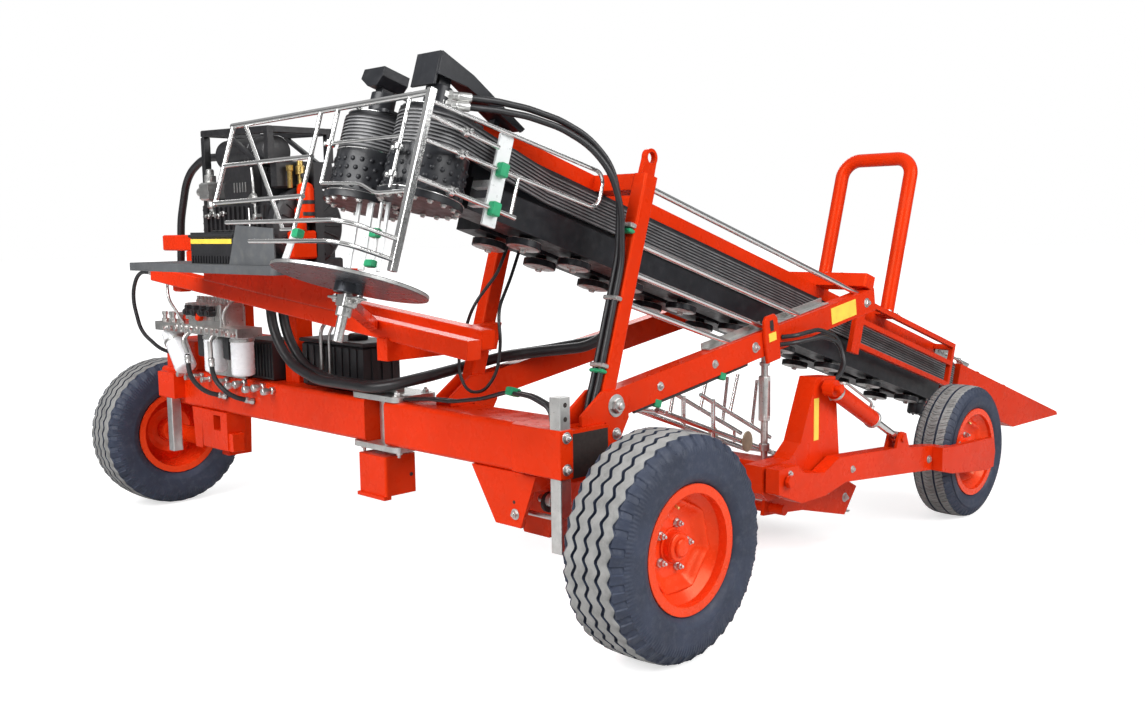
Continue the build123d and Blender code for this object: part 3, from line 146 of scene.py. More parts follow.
RED = (0.66, 0.029, 0.003)
M = {
    "red_paint": look("red_paint", RED, 0.10, (0.22, 0.36), scale=2.6, grain=240, bump=0.05, edge=0.004, specular=0.20, tint=(1.0, 0.45, 0.20),
                      dust=(0.42, 0.06, 0.03, 0.16)),
    "rim_red": look("rim_red", (0.84, 0.050, 0.008), 0.08, (0.20, 0.32), scale=5, grain=260, bump=0.04, edge=0.003, specular=0.5, tint=(1.0, 0.55, 0.32)),
    "tyre": look("tyre", (0.028, 0.037, 0.064), 0.22, (0.50, 0.66), scale=9, grain=420, bump=0.22, dust=(0.085, 0.095, 0.12, 0.45), specular=0.4),
    # tread tops painted a light grey as a painted highlight where they face the light, with a dust mottle over it
    "tread_highlight_and_dust": look("tread_highlight_and_dust", (0.25, 0.25, 0.245), 0.25, (0.75, 0.9), scale=14, grain=500, bump=0.3,
                       dust=(0.30, 0.30, 0.29, 0.7), specular=0.3),
    "zinc": look("zinc", (0.60, 0.60, 0.585), 0.14, (0.26, 0.42), metal=0.9, scale=22, grain=300, bump=0.05, edge=0.0015),
    "belt_rubber": look("belt_rubber", (0.032, 0.032, 0.035), 0.3, (0.34, 0.50), scale=12, grain=380, bump=0.15, dust=(0.09, 0.09, 0.09, 0.4), specular=0.5),
    "belt_rib": look("belt_rib", (0.150, 0.150, 0.155), 0.3, (0.30, 0.45), scale=14, grain=380, bump=0.12, dust=(0.24, 0.24, 0.24, 0.4)),
    "black_steel": look("black_steel", (0.012, 0.013, 0.016), 0.25, (0.28, 0.44), scale=6, grain=260, bump=0.08, edge=0.003, specular=0.35,
                        dust=(0.05, 0.05, 0.055, 0.35)),
    "bright_tube": look("bright_tube", (0.80, 0.80, 0.79), 0.06, (0.10, 0.22), metal=0.95, scale=18, grain=350, bump=0.02),
    "board_grey": look("board_grey", (0.085, 0.090, 0.096), 0.15, (0.42, 0.60), scale=6, grain=180, bump=0.12, edge=0.003,
                       dust=(0.17, 0.165, 0.15, 0.4)),
    "table_steel": look("table_steel", (0.060, 0.066, 0.078), 0.2, (0.24, 0.36), metal=0.5, scale=7, grain=220, bump=0.06, edge=0.002,
                        dust=(0.12, 0.10, 0.09, 0.3)),
    "black_plastic": look("black_plastic", (0.017, 0.017, 0.019), 0.2, (0.38, 0.52), scale=10, grain=400, bump=0.12),
    "engine_black": look("engine_black", (0.016, 0.016, 0.018), 0.3, (0.32, 0.52), scale=12, grain=260, bump=0.18, edge=0.002,
                         dust=(0.06, 0.055, 0.05, 0.3)),
    "filter_white": look("filter_white", (0.80, 0.81, 0.83), 0.05, (0.22, 0.34), scale=8, grain=260, bump=0.04, coat=0.2),
    "hose_rubber": look("hose_rubber", (0.014, 0.014, 0.016), 0.25, (0.30, 0.45), scale=20, grain=520, bump=0.25),
    "white_plate": look("white_plate", (0.80, 0.82, 0.82), 0.05, (0.25, 0.4), metal=0.25, scale=10, grain=240, bump=0.05, edge=0.0015),
    "green": look("green_plastic", (0.015, 0.30, 0.13), 0.18, (0.35, 0.5), scale=30, grain=300, bump=0.1),
    "yellow": look("yellow_plate", (0.86, 0.62, 0.07), 0.08, (0.35, 0.5), scale=24, grain=300, bump=0.05),
    "brass": look("brass", (0.70, 0.50, 0.17), 0.15, (0.22, 0.4), metal=0.9, scale=30, grain=300, bump=0.06),
    # painted shade: flat dark colour laid on holes, slots and recesses to stand in for their shade
    "dark": look("painted_gap_shade", (0.020, 0.012, 0.010), 0.3, (0.6, 0.8), scale=15, grain=200, bump=0.2),
    "beige": look("beige_plate", (0.52, 0.47, 0.34), 0.15, (0.35, 0.5), metal=0.3, scale=20, grain=260, bump=0.08),
}
slot_of = {s["node"]: s["material_slot"] for s in frame["record"]["subparts"]}
for node, obj in nodes.items():
    obj.data.materials.clear()
    obj.data.materials.append(M["table_steel" if node == "turntable" else slot_of[node]])


# ------------------------------------------------------------------ mesh bags
def across(axis):
    """Two directions square to axis."""
    a = axis.normalized()
    t = Z if abs(a.z) < 0.9 else X
    u = a.cross(t).normalized()
    return u, a.cross(u).normalized()


class Bag:
    """Gathers many small solids of one material into one mesh, in the wheel frame."""

    def __init__(self):
        self.v, self.f = [], []

    def rings(self, rings, caps=True):
        k, n = len(self.v), len(rings[0])
        for r in rings:
            self.v += [tuple(p) for p in r]
        for j in range(len(rings) - 1):
            for i in range(n):
                a, c = k + j * n + i, k + j * n + (i + 1) % n
                self.f.append((a, c, c + n, a + n))
        if caps:
            self.f.append(tuple(k + i for i in reversed(range(n))))
            e = k + (len(rings) - 1) * n
            self.f.append(tuple(e + i for i in range(n)))

    def lathe(self, p, axis, profile, seg=20, turn=0.0):
        """profile: radius and distance along the axis, from the foot to the head."""
        p, a = Vector(p), Vector(axis).normalized()
        u, w = across(a)
        if u.cross(w).dot(a) < 0:
            w = -w
        self.rings([[p + a * t + (u * cos(2 * pi * i / seg + turn) + w * sin(2 * pi * i / seg + turn)) * max(r, 1e-4)
                     for i in range(seg)] for r, t in profile])

    def collar(self, p, axis, r0, r1, length, seg=20):
        """Ring with a hole."""
        p, a = Vector(p), Vector(axis).normalized()
        u, w = across(a)
        if u.cross(w).dot(a) < 0:
            w = -w
        c, h = min(0.002, (r1 - r0) / 4), length / 2
        prof = ((r0, -h), (r1 - c, -h), (r1, -h + c), (r1, h - c), (r1 - c, h), (r0, h), (r0, -h))
        self.rings([[p + a * t + (u * cos(2 * pi * i / seg) + w * sin(2 * pi * i / seg)) * r for i in range(seg)]
                    for r, t in prof], caps=False)

    def prism(self, outline, o, x, y, depth, bevel=0.0015):
        """Outline in the plane x, y through o, pulled along x cross y; edges chamfered."""
        o, x, y = Vector(o), Vector(x), Vector(y)
        z = x.cross(y).normalized()
        n = len(outline)
        area = sum(outline[i][0] * outline[(i + 1) % n][1] - outline[(i + 1) % n][0] * outline[i][1] for i in range(n))
        pts = [Vector(p) for p in (outline if area > 0 else list(reversed(outline)))]
        inner = []
        for i in range(n):
            e0, e1 = (pts[i] - pts[i - 1]).normalized(), (pts[(i + 1) % n] - pts[i]).normalized()
            n0, n1 = Vector((-e0.y, e0.x)), Vector((-e1.y, e1.x))
            m = n0 + n1
            inner.append(pts[i] + m * (bevel / max(0.35, m.dot(n0))))
        sgn = 1 if depth > 0 else -1
        lay = [(inner, 0.0), (pts, sgn * bevel), (pts, depth - sgn * bevel), (inner, depth)]
        if depth < 0:
            lay.reverse()
        self.rings([[o + x * q.x + y * q.y + z * t for q in ring] for ring, t in lay])

    def box(self, c, size, x=X, y=Y, bevel=0.0015):
        a, b = size[0] / 2, size[1] / 2
        x, y = Vector(x).normalized(), Vector(y).normalized()
        z = x.cross(y)
        self.prism([(-a, -b), (a, -b), (a, b), (-a, b)], Vector(c) - z * (size[2] / 2), x, y, size[2], min(bevel, a / 3, b / 3, size[2] / 3))

    def span(self, lo, hi, bevel=0.002):
        lo, hi = Vector(lo), Vector(hi)
        d = hi - lo
        self.box((lo + hi) / 2, (d.x, d.y, d.z), bevel=bevel)

    def rod(self, pts, r, seg=12, bend=0.0):
        """Stiff round rod through pts, with round bends."""
        pts = [Vector(p) for p in pts]
        path = [pts[0]]
        for i in range(1, len(pts) - 1):
            a, b = (pts[i - 1] - pts[i]), (pts[i + 1] - pts[i])
            cut = min(bend, a.length * 0.45, b.length * 0.45)
            p0, p1 = pts[i] + a.normalized() * cut, pts[i] + b.normalized() * cut
            for k in range(7):
                t = k / 6
                path.append(p0 * (1 - t) ** 2 + pts[i] * (2 * t * (1 - t)) + p1 * t ** 2)
        path.append(pts[-1])
        rings, u = [], None
        for i, p in enumerate(path):
            d = (path[min(i + 1, len(path) - 1)] - path[max(i - 1, 0)]).normalized()
            u = across(d)[0] if u is None else (u - d * u.dot(d)).normalized()
            w = d.cross(u)
            rings.append([p + (u * cos(2 * pi * j / seg) + w * sin(2 * pi * j / seg)) * r for j in range(seg)])
        d0, d1 = (path[1] - path[0]).normalized(), (path[-1] - path[-2]).normalized()
        first = [path[0] + (q - path[0]) * 0.8 for q in rings[0]]
        rings[0] = [q + d0 * r * 0.2 for q in rings[0]]
        last = [path[-1] + (q - path[-1]) * 0.8 for q in rings[-1]]
        rings[-1] = [q - d1 * r * 0.2 for q in rings[-1]]
        self.rings([first] + rings + [last])

    def bolt(self, p, axis, r=0.011, h=0.009, washer=True, stud=0.0):
        """Hex head on a washer, with an optional stud end."""
        p, a = Vector(p), Vector(axis).normalized()
        if washer:
            self.lathe(p, a, ((r * 1.5, 0), (r * 1.55, 0.0008), (r * 1.5, 0.0022), (r * 1.0, 0.0024)), 20)
            p = p + a * 0.0022
        self.lathe(p, a, ((r, 0), (r * 1.03, 0.001), (r * 1.03, h * 0.75), (r * 0.86, h), (r * 0.5, h * 1.02)), 6, turn=0.3)
        if stud:
            self.lathe(p + a * h, a, ((r * 0.5, 0), (r * 0.5, stud * 0.85), (r * 0.35, stud)), 12)

    def dome(self, p, axis, r, h, seg=10):
        self.lathe(p, axis, ((r, 0), (r * 0.94, h * 0.4), (r * 0.72, h * 0.75), (r * 0.35, h * 0.96), (0, h)), seg)

    def emit(self, name, body, slot, mat, angle=38, swap=(), second=None):
        me = bpy.data.meshes.new(name)
        me.from_pydata([(p[0] - CX, p[1] - CY, p[2]) for p in self.v], [], self.f)
        me.materials.append(M[mat])
        if second:
            me.materials.append(M[second[0]])
            me.polygons.foreach_set("material_index", second[1])
        me.polygons.foreach_set("use_smooth", [True] * len(me.polygons))
        me.set_sharp_from_angle(angle=radians(angle))
        me.update()
        ob = bpy.data.objects.new(name, me)
        bpy.context.scene.collection.objects.link(ob)
        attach(ob, body)
        if swap:
            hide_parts(*swap)
        return ob


# ------------------------------------------------------------------ tyres
def tri(t):
    t = t % 1.0
    return 4 * t - 1 if t < 0.5 else 3 - 4 * t


def tyre(name, centre, R, half, flange, seat, periods, blocks):
    """Columns run across the tyre from bead to bead; grooves follow the columns, so their walls are crisp."""
    side = [(0.80 * half, seat, "s"), (0.80 * half, flange + 0.002, "s"), (0.88 * half, flange + 0.007, "s"),
            (0.955 * half, flange + 0.020, "s"), (0.985 * half, flange + 0.034, "s"), (0.990 * half, flange + 0.036, "r"),
            (0.992 * half, flange + 0.040, "r"), (0.990 * half, flange + 0.042, "s"), (half * 0.999, flange + 0.060, "s"),
            (half, (flange + R) / 2 + 0.004, "s"), (half * 0.995, R - 0.068, "s"), (half * 0.988, R - 0.060, "f"),
            (half * 0.965, R - 0.049, "f"), (half * 0.945, R - 0.040, "f"), (half * 0.925, R - 0.034, "l"),
            (half * 0.86, R - 0.021, "l"), (half * 0.80, R - 0.012, "l"), (half * 0.735, R - 0.006, "l")]
    edge = half * (0.69 if not blocks else 0.72)
    groove = (-0.38 * half, 0.0, 0.38 * half) if not blocks else (-0.30 * half, 0.30 * half)
    gw, gd = (0.0068, 0.0115) if not blocks else (0.0050, 0.0080)
    tread = [(-edge - 0.0025, R - 0.010, "b"), (-edge, R - 0.003, "t")]
    last = -edge
    for g in groove:
        lo = g - gw
        for k in (1, 2, 3):
            tread.append((last + (lo - last) * k / 4, R, "t"))
        tread += [(lo, R, "t"), (lo + 0.0016, R - gd, "b"), (g + gw - 0.0016, R - gd, "b"), (g + gw, R, "t")]
        last = g + gw
    for k in (1, 2, 3):
        tread.append((last + (edge - last) * k / 4, R, "t"))
    tread += [(edge, R - 0.003, "t"), (edge + 0.0025, R - 0.010, "b")]
    cols = [(-y, r, k) for y, r, k in side] + tread + [(y, r, k) for y, r, k in reversed(side)]
    per = 16
    count = periods * per
    bag = Bag()
    n = len(cols)
    tops = []
    for i in range(count):
        ph = (i % per) / per
        zig = max(-1.0, min(1.0, 1.35 * tri(ph)))
        for y, r, k in cols:
            crown = 0.004 * (y / edge) ** 2 if k in "tb" else 0.0
            yy, rr, skew = y, r - crown, 0.0
            if not blocks:
                if k in "tb":
                    yy = y + 0.0068 * zig
                if k == "l":
                    notch = ph < 0.40 if y < 0 else 0.5 <= ph < 0.90
                    rr -= 0.0075 if notch else 0.0
                    yy = y + (0.0068 * zig * 0.4)
                if k == "f":
                    rr += 0.0
                    yy = y * (1.0 + (0.010 if (i % 4) < 2 else -0.004))
            else:
                if k == "t":
                    slit = (ph < 0.19) or (0.5 <= ph < 0.56)
                    rr -= 0.0055 if slit and abs(abs(y) - 0.30 * half) > gw * 1.05 else 0.0
                    skew = (abs(y) / half) * 1.1 * 2 * pi / periods
                if k == "b":
                    skew = (abs(y) / half) * 1.1 * 2 * pi / periods
                if k == "l":
                    rr -= 0.0050 if ph < 0.25 else 0.0
                    skew = 0.75 * 1.1 * 2 * pi / periods
                if k == "f":
                    yy = y * (1.0 + (0.006 if (i % 4) < 2 else -0.003))
            th = 2 * pi * i / count + skew
            bag.v.append((centre[0] + rr * sin(th), centre[1] + yy, centre[2] + rr * cos(th)))
    for i in range(count):
        a, b = i * n, ((i + 1) % count) * n
        for j in range(n - 1):
            bag.f.append((a + j, a + j + 1, b + j + 1, b + j))
            ka, kb = cols[j][2], cols[j + 1][2]
            tops.append(1 if ka == "t" and kb == "t" else 0)
        bag.f.append((a + n - 1, a, b, b + n - 1))
        tops.append(0)
    return bag, tops


# name, body, centre, radius, half width, flange, seat, tread periods, block tread
TYRES = (
    ("rear_right", (0.0, 0.0, 0.38), 0.38, 0.132, 0.216, 0.194, 40, False),
    ("rear_left", (-0.043, 3.4, 0.38), 0.38, 0.132, 0.216, 0.194, 40, False),
    ("front", (2.394, 0.151, 0.3175), 0.3175, 0.0975, 0.209, 0.190, 56, True),
)
for wheel, centre, R, half, flange, seat, periods, blocks in TYRES:
    bag, tops = tyre(wheel, centre, R, half, flange, seat, periods, blocks)
    # tread tops take the lighter material: painted highlight with dust mottle
    bag.emit("tyre_look_" + wheel, wheel + "_wheel", "tyre", "tyre", 50, ("tyre_" + wheel,), ("tread_highlight_and_dust", tops))

# ------------------------------------------------------------------ wheel furniture
# wheel, centre, outer side, disc place, disc size
for wheel, centre, out, disc, size in (("rear_right", (0, 0, 0.38), -1, 0.018, 1.0), ("rear_left", (-0.043, 3.4, 0.38), 1, 0.018, 1.0),
                                       ("front", (2.394, 0.151, 0.3175), -1, 0.008, 0.97)):
    c, ax = Vector(centre), Vector((0, out, 0))
    plate, bolts, stem = Bag(), Bag(), Bag()
    sides, seg = 7, 84
    rings = []
    # radius at the flats, place along the axle, how far the outline follows the flats
    for r, t, flat in ((0.058, 0.0075, 0), (0.058, 0.0105, 0), (0.098, 0.0105, 0.3), (0.104, 0.0125, 1.0), (0.128, 0.0300, 1.0),
                       (0.136, 0.0400, 1.0), (0.143, 0.0430, 1.0), (0.147, 0.0410, 1.0), (0.147, 0.0300, 1.0)):
        ring = []
        for i in range(seg):
            th = 2 * pi * i / seg
            w = (th % (2 * pi / sides)) - pi / sides
            rr = r * size * ((1 - flat) + flat * min(1.095, 1 / cos(w)))
            ring.append(c + ax * (disc + t) + Vector((sin(th), 0, cos(th))) * rr)
        rings.append(ring if out < 0 else list(reversed(ring)))
    plate.rings(rings, caps=False)
    plate.lathe(c + ax * (disc + 0.040), ax, ((0.047, -0.001), (0.047, 0.004), (0.043, 0.007), (0.034, 0.008), (0.0315, 0.009),
                                              (0.0305, 0.016), (0.026, 0.020), (0.012, 0.0215), (0.0, 0.0215)), 36)
    plate.collar(c + ax * (disc + 0.013), ax, 0.0505, 0.062, 0.010, 40)
    plate.emit("wheel_disc_" + wheel, wheel + "_wheel", "rim_red", "rim_red", 30)
    for k in range(5):
        th = radians(18 + 72 * k)
        p = c + ax * (disc + 0.0105) + Vector((sin(th), 0, cos(th))) * 0.076
        bolts.lathe(p, ax, ((0.0155, 0), (0.0165, 0.002), (0.0135, 0.007)), 20)
        bolts.bolt(p + ax * 0.006, ax, 0.0115, 0.014, washer=False, stud=0.010)
    bolts.emit("wheel_bolts_" + wheel, wheel + "_wheel", "zinc", "zinc")
    th = radians(-14)
    p = c + ax * (disc + 0.030) + Vector((sin(th), 0, cos(th))) * 0.164
    stem.lathe(p, (ax + Vector((-sin(th), 0, -cos(th))) * 0.5), ((0.007, 0), (0.007, 0.008), (0.0045, 0.010), (0.0045, 0.030), (0.0055, 0.031),
                                                                 (0.0055, 0.044), (0.004, 0.046)), 14)
    stem.emit("valve_stem_" + wheel, wheel + "_wheel", "zinc", "brass")

# ------------------------------------------------------------------ gripping belts
MID_Y, GAP, DRUM_S, DRUM_R, NOSE_S, LOOP = 0.640, 0.040, -0.650, 0.125, 3.030, 0.140
TURN_S = -0.140                     # where the outer run leaves its straight line towards the drum
for side, sgn in (("right", -1), ("left", 1)):
    y_in = MID_Y + sgn * GAP / 2
    px, pv = TURN_S - DRUM_S, LOOP - DRUM_R
    tip = atan2(pv, px) + acos(DRUM_R / hypot(px, pv))
    path = []                       # s, distance from the inner run, outward direction
    for k in range(60):
        path.append((DRUM_S + (NOSE_S - DRUM_S) * k / 60, 0.0, (0.0, -1.0)))
    for k in range(24):
        th = -pi / 2 + pi * k / 24
        path.append((NOSE_S + LOOP / 2 * cos(th), LOOP / 2 + LOOP / 2 * sin(th), (cos(th), sin(th))))
    for k in range(50):
        path.append((NOSE_S + (TURN_S - NOSE_S) * k / 50, LOOP, (0.0, 1.0)))
    ts, tv = DRUM_S + DRUM_R * cos(tip), DRUM_R + DRUM_R * sin(tip)
    for k in range(10):
        t = k / 10
        path.append((TURN_S + (ts - TURN_S) * t, LOOP + (tv - LOOP) * t, (cos(tip), sin(tip))))
    for k in range(48):
        th = tip + (1.5 * pi - tip) * k / 48
        path.append((DRUM_S + DRUM_R * cos(th), DRUM_R + DRUM_R * sin(th), (cos(th), sin(th))))
    ribs, sect = 9, []
    n0, n1 = 0.270, 0.380
    pitch = (n1 - n0 - 0.006) / ribs
    for k in range(ribs):
        a = n0 + 0.003 + k * pitch
        sect += [(a + 0.0004, 0.0), (a + pitch * 0.46, 0.0), (a + pitch * 0.54, -0.0042), (a + pitch * 0.93, -0.0042)]
    sect += [(n1, -0.001), (n1, -0.010), (n0, -0.010), (n0, -0.001)]
    bag, crests = Bag(), []
    m = len(sect)
    for s, v, (os, ov) in path:
        for n, d in sect:
            bag.v.append(tuple(spot(s + os * d, y_in + sgn * (v + ov * d), n)))
    for i in range(len(path)):
        a, b = i * m, ((i + 1) % len(path)) * m
        for j in range(m):
            q = (a + j, a + (j + 1) % m, b + (j + 1) % m, b + j)
            bag.f.append(q if sgn > 0 else tuple(reversed(q)))
            crests.append(1 if j < 4 * ribs and j % 4 == 0 else 0)
    bag.emit("gripping_belt_" + side, "chassis", "belt_rubber", "belt_rubber", 30, ("belt_" + side,), ("belt_rib", crests))

# ------------------------------------------------------------------ drums: studs, rings, bolts
studs, rings_b, bolts = Bag(), Bag(), Bag()
for y in (MID_Y - GAP / 2 - DRUM_R, MID_Y + GAP / 2 + DRUM_R):
    for row, n in enumerate((0.142, 0.171, 0.200, 0.229)):
        for k in range(24):
            th = 2 * pi * (k + 0.5 * (row % 2)) / 24
            d = DOWN * cos(th) + Y * sin(th)
            studs.dome(spot(DRUM_S, y, n) + d * (DRUM_R - 0.0005), d, 0.0085, 0.0055, 10)
    rings_b.collar(spot(DRUM_S, y, 0.1235), UP, DRUM_R - 0.004, DRUM_R + 0.0135, 0.003, 64)
    rings_b.collar(spot(DRUM_S, y, 0.2665), UP, DRUM_R - 0.012, DRUM_R + 0.002, 0.004, 64)
    rings_b.collar(spot(DRUM_S, y, 0.3955), UP, DRUM_R - 0.060, DRUM_R - 0.008, 0.003, 64)
    for k in range(16):
        th = 2 * pi * k / 16
        d = DOWN * cos(th) + Y * sin(th)
        bolts.bolt(spot(DRUM_S, y, 0.100) + d * (DRUM_R - 0.004), -UP, 0.0075, 0.007)
studs.emit("drum_studs", "chassis", "black_steel", "black_steel", 60)
rings_b.emit("drum_rings", "chassis", "bright_tube", "bright_tube", 40)

# ------------------------------------------------------------------ idlers: hub bolts and rims
hubs = Bag()
for sgn in (-1, 1):
    y = MID_Y + sgn * (GAP + LOOP) / 2
    for s in (-0.14, 0.12, 0.42, 0.76, 1.12, 1.50, 1.90, 2.30, 2.70):
        hubs.lathe(spot(s, y, 0.1120), -UP, ((0.056, 0), (0.057, 0.001), (0.055, 0.0025), (0.024, 0.003), (0.024, 0.005), (0.018, 0.007),
                                             (0.014, 0.0075)), 36)
        hubs.bolt(spot(s, y, 0.1050), -UP, 0.012, 0.010, washer=False)
        hubs.collar(spot(s, y, 0.1345), UP, 0.050, 0.0625, 0.003, 40)
hubs.emit("idler_hubs", "chassis", "zinc", "zinc")

# ------------------------------------------------------------------ bolts on the frame
RIGHT, REAR = -Y, -X
# place, direction, head radius, head height
FRAME_BOLTS = (
    ((0.050, 0.2570, 0.8075), RIGHT, 0.026, 0.018), ((0.050, 0.2570, 0.710), RIGHT, 0.014, 0.010),
    ((-0.228, 0.222, 0.738), RIGHT, 0.013, 0.012), ((-0.228, 0.222, 0.632), RIGHT, 0.013, 0.012),
    ((-0.200, 0.507, 0.432), REAR, 0.013, 0.010),
    ((1.195, 0.120, 0.720), RIGHT, 0.012, 0.009),
    ((1.090, 0.320, 0.420), RIGHT, 0.014, 0.011), ((1.130, 0.320, 0.300), RIGHT, 0.014, 0.011), ((1.330, 0.320, 0.330), RIGHT, 0.014, 0.011),
    ((1.500, 0.320, 0.250), RIGHT, 0.014, 0.011), ((1.640, 0.320, 0.190), RIGHT, 0.014, 0.011),
    ((0.880, 0.270, 0.937), RIGHT, 0.014, 0.011), ((1.720, 0.270, 1.066), RIGHT, 0.014, 0.011),
    ((0.300, 0.270, 0.846), RIGHT, 0.011, 0.008), ((0.620, 0.270, 0.896), RIGHT, 0.011, 0.008),
)
for p, d, r, h in FRAME_BOLTS:
    bolts.bolt(p, d, r, h, stud=h * 0.6)
for y in (0.42, 0.50, 0.78, 0.86):
    bolts.bolt(spot(1.680, y, 0.515), UP, 0.010, 0.008)
for dx in (-0.07, 0.07):
    for dy in (-0.115, 0.115):
        bolts.bolt((-0.100 + dx, 1.320 + dy, 0.777), Z, 0.013, 0.011, stud=0.008)
        bolts.bolt((-0.100 + dx, 1.320 + dy, 0.558), -Z, 0.013, 0.011, stud=0.012)
bolts.lathe((-0.100, 1.320, 0.558), -Z, ((0.046, 0), (0.0485, 0.002), (0.0485, 0.019), (0.044, 0.022)), 6)
for s in (2.905, 2.945, 2.985):
    bolts.bolt(spot(s, 0.512, 0.426), RIGHT, 0.008, 0.006)
for y in (0.505, 0.755):
    for s in (2.215, 2.285):
        bolts.bolt(spot(s, y + 0.10 if y > 0.6 else y - 0.05, 0.473), UP, 0.010, 0.008)
bolts.emit("frame_bolts", "chassis", "zinc", "zinc")

# ------------------------------------------------------------------ plates and bright fittings on the frame
zinc = Bag()
arm_dir = Vector((1.73, 0, 0.27)).normalized()
arm_up = Vector((-arm_dir.z, 0, arm_dir.x))


def on_arm(x, y, up):
    return Vector((0.05, y, 0.8075)) + arm_dir * ((x - 0.05) / arm_dir.x) + arm_up * up


for x0, x1 in ((0.62, 1.00), (1.06, 1.45)):
    a, b = on_arm(x0, 0.31, 0.0535), on_arm(x1, 0.31, 0.0535)
    zinc.box((a + b) / 2, ((b - a).length, 0.040, 0.006), arm_dir, Y)
    zinc.box((a + b) / 2 + Y * 0.0175 + arm_up * 0.013, ((b - a).length, 0.005, 0.020), arm_dir, Y)
# tube sockets on the right post and on the arm: s, n
for s, n in ((0.172, 0.420), (0.172, 0.215), (0.172, 0.110), (0.172, 0.0)):
    zinc.collar(spot(s, 0.300, n), DOWN, 0.0112, 0.0165, 0.012, 24)
# hose clamps on the right post
for n in (0.260, 0.000, -0.237):
    zinc.box(spot(0.0862, 0.2985, n), (0.030, 0.062, 0.016), DOWN, Y, 0.003)
# turnbuckle nuts and cross holes
for z, r in ((0.640, 0.026), (0.800, 0.026)):
    zinc.lathe((0.985, 0.300, z - 0.011), Z, ((r * 0.9, 0), (r, 0.002), (r, 0.020), (r * 0.9, 0.022)), 6)
zinc.collar((0.985, 0.300, 0.860), Z, 0.0145, 0.021, 0.014)
zinc.collar((0.985, 0.300, 0.520), Z, 0.0145, 0.022, 0.030)
for k in range(24):
    zinc.collar((0.985, 0.300, 0.545 + 0.0036 * k), Z, 0.0135, 0.0152, 0.0018, 16)
# drum motors: port blocks and hose tails, s, y, n of the tail's start and end
for (sa, ya, na), (sb, yb, nb) in (((-0.652, 0.463, 0.4575), (-0.592, 0.428, 0.4685)), ((-0.652, 0.463, 0.4275), (-0.592, 0.426, 0.4385))):
    a, b = spot(sa, ya, na), spot(sb, yb, nb)
    d = (b - a).normalized()
    zinc.lathe(a - d * 0.004, d, ((0.017, 0), (0.0185, 0.002), (0.0185, 0.014), (0.0165, 0.016)), 6)
    zinc.lathe(a + d * 0.012, d, ((0.0135, 0), (0.0135, 0.016), (0.0155, 0.018), (0.0155, 0.056), (0.0135, 0.060), (0.0112, 0.060)), 20)
    zinc.box(a - d * 0.010, (0.030, 0.030, 0.026), DOWN, Y, 0.004)
# belt tension slide at the front of the right top beam
zinc.box(spot(2.945, 0.5165, 0.426), (0.170, 0.007, 0.050), DOWN, Y, 0.0015)
zinc.rod((spot(3.02, 0.5120, 0.426), spot(3.26, 0.5120, 0.426)), 0.0075, 12)
zinc.lathe(spot(3.13, 0.5120, 0.426), DOWN, ((0.0135, 0), (0.015, 0.002), (0.015, 0.012), (0.0135, 0.014)), 6)
zinc.box(spot(3.20, 0.5180, 0.408), (0.060, 0.040, 0.030), DOWN, Y, 0.003)
# couplings along the left beam: y, z
for y, z in ((2.06, 0.725), (2.14, 0.735), (2.22, 0.720), (2.30, 0.738), (2.38, 0.722), (2.46, 0.735)):
    zinc.lathe((-0.200, y, z), REAR, ((0.017, 0), (0.018, 0.002), (0.018, 0.014), (0.015, 0.016), (0.013, 0.018), (0.013, 0.032),
                                      (0.0165, 0.034), (0.0165, 0.058), (0.013, 0.062), (0.009, 0.063)), 6 if int(y * 100) % 4 else 18)
for y, z in ((2.62, 0.730), (2.70, 0.740), (2.78, 0.728), (2.86, 0.738)):
    zinc.lathe((-0.200, y, z), REAR, ((0.014, 0), (0.015, 0.002), (0.015, 0.012), (0.011, 0.014), (0.011, 0.030), (0.014, 0.031), (0.014, 0.050)), 6)
# sleeves at the ends of the hoses: start, direction, length, radius
for p, d, length, r in (((-0.400, 2.701, 1.2350), (-0.002, 0.190, 0.005), 0.060, 0.0125), ((-0.245, 2.8825, 0.8414), (0.115, -0.005, -0.018), 0.050, 0.0125),
                        ((-0.240, 2.2420, 0.6720), (0.100, -0.030, -0.030), 0.040, 0.0145), ((-0.243, 2.4760, 0.6720), (0.095, -0.040, -0.030), 0.036, 0.0145),
                        ((-0.3450, 2.3340, 0.8600), (0.001, -0.010, -0.096), 0.036, 0.0145), ((-0.3450, 2.5540, 0.8600), (0.001, -0.010, -0.106), 0.036, 0.0145)):
    zinc.lathe(p, d, ((r - 0.001, 0), (r, 0.002), (r, length * 0.35), (r - 0.001, length * 0.4), (r - 0.001, length * 0.6), (r, length * 0.65), (r, length)), 20)
# coupling and rod in the pocket of the right axle bracket
zinc.lathe((-0.112, 0.330, 0.480), Y, ((0.012, 0), (0.012, 0.020), (0.020, 0.022), (0.020, 0.050), (0.016, 0.052), (0.016, 0.070), (0.024, 0.072), (0.024, 0.094),
                                       (0.014, 0.096), (0.014, 0.140)), 18)
zinc.rod(((-0.130, 0.300, 0.425), (-0.130, 0.560, 0.425)), 0.009, 12)
zinc.emit("bright_fittings", "chassis", "zinc", "zinc")

dark = Bag()
# dark disc painted as the shade inside a hole in a rear face
dark.lathe((-0.2000, 0.5120, 0.474), REAR, ((0.0065, -0.002), (0.0065, 0.0004), (0.005, 0.0006)), 18)
# dark discs painted as the shade inside the holes in the right height leg, right face
for z in (0.798, 0.845):
    dark.lathe((-0.2250, 0.2300, z), RIGHT, ((0.0085, -0.002), (0.0085, 0.0004), (0.007, 0.0006)), 18)
# dark sheet painted as shade on the right face
dark.prism([(-0.088, -0.075), (0.088, -0.075), (0.088, 0.075), (-0.088, 0.075)], (-0.100, 0.2400, 0.6675), X, Z, 0.0012, 0.0004)
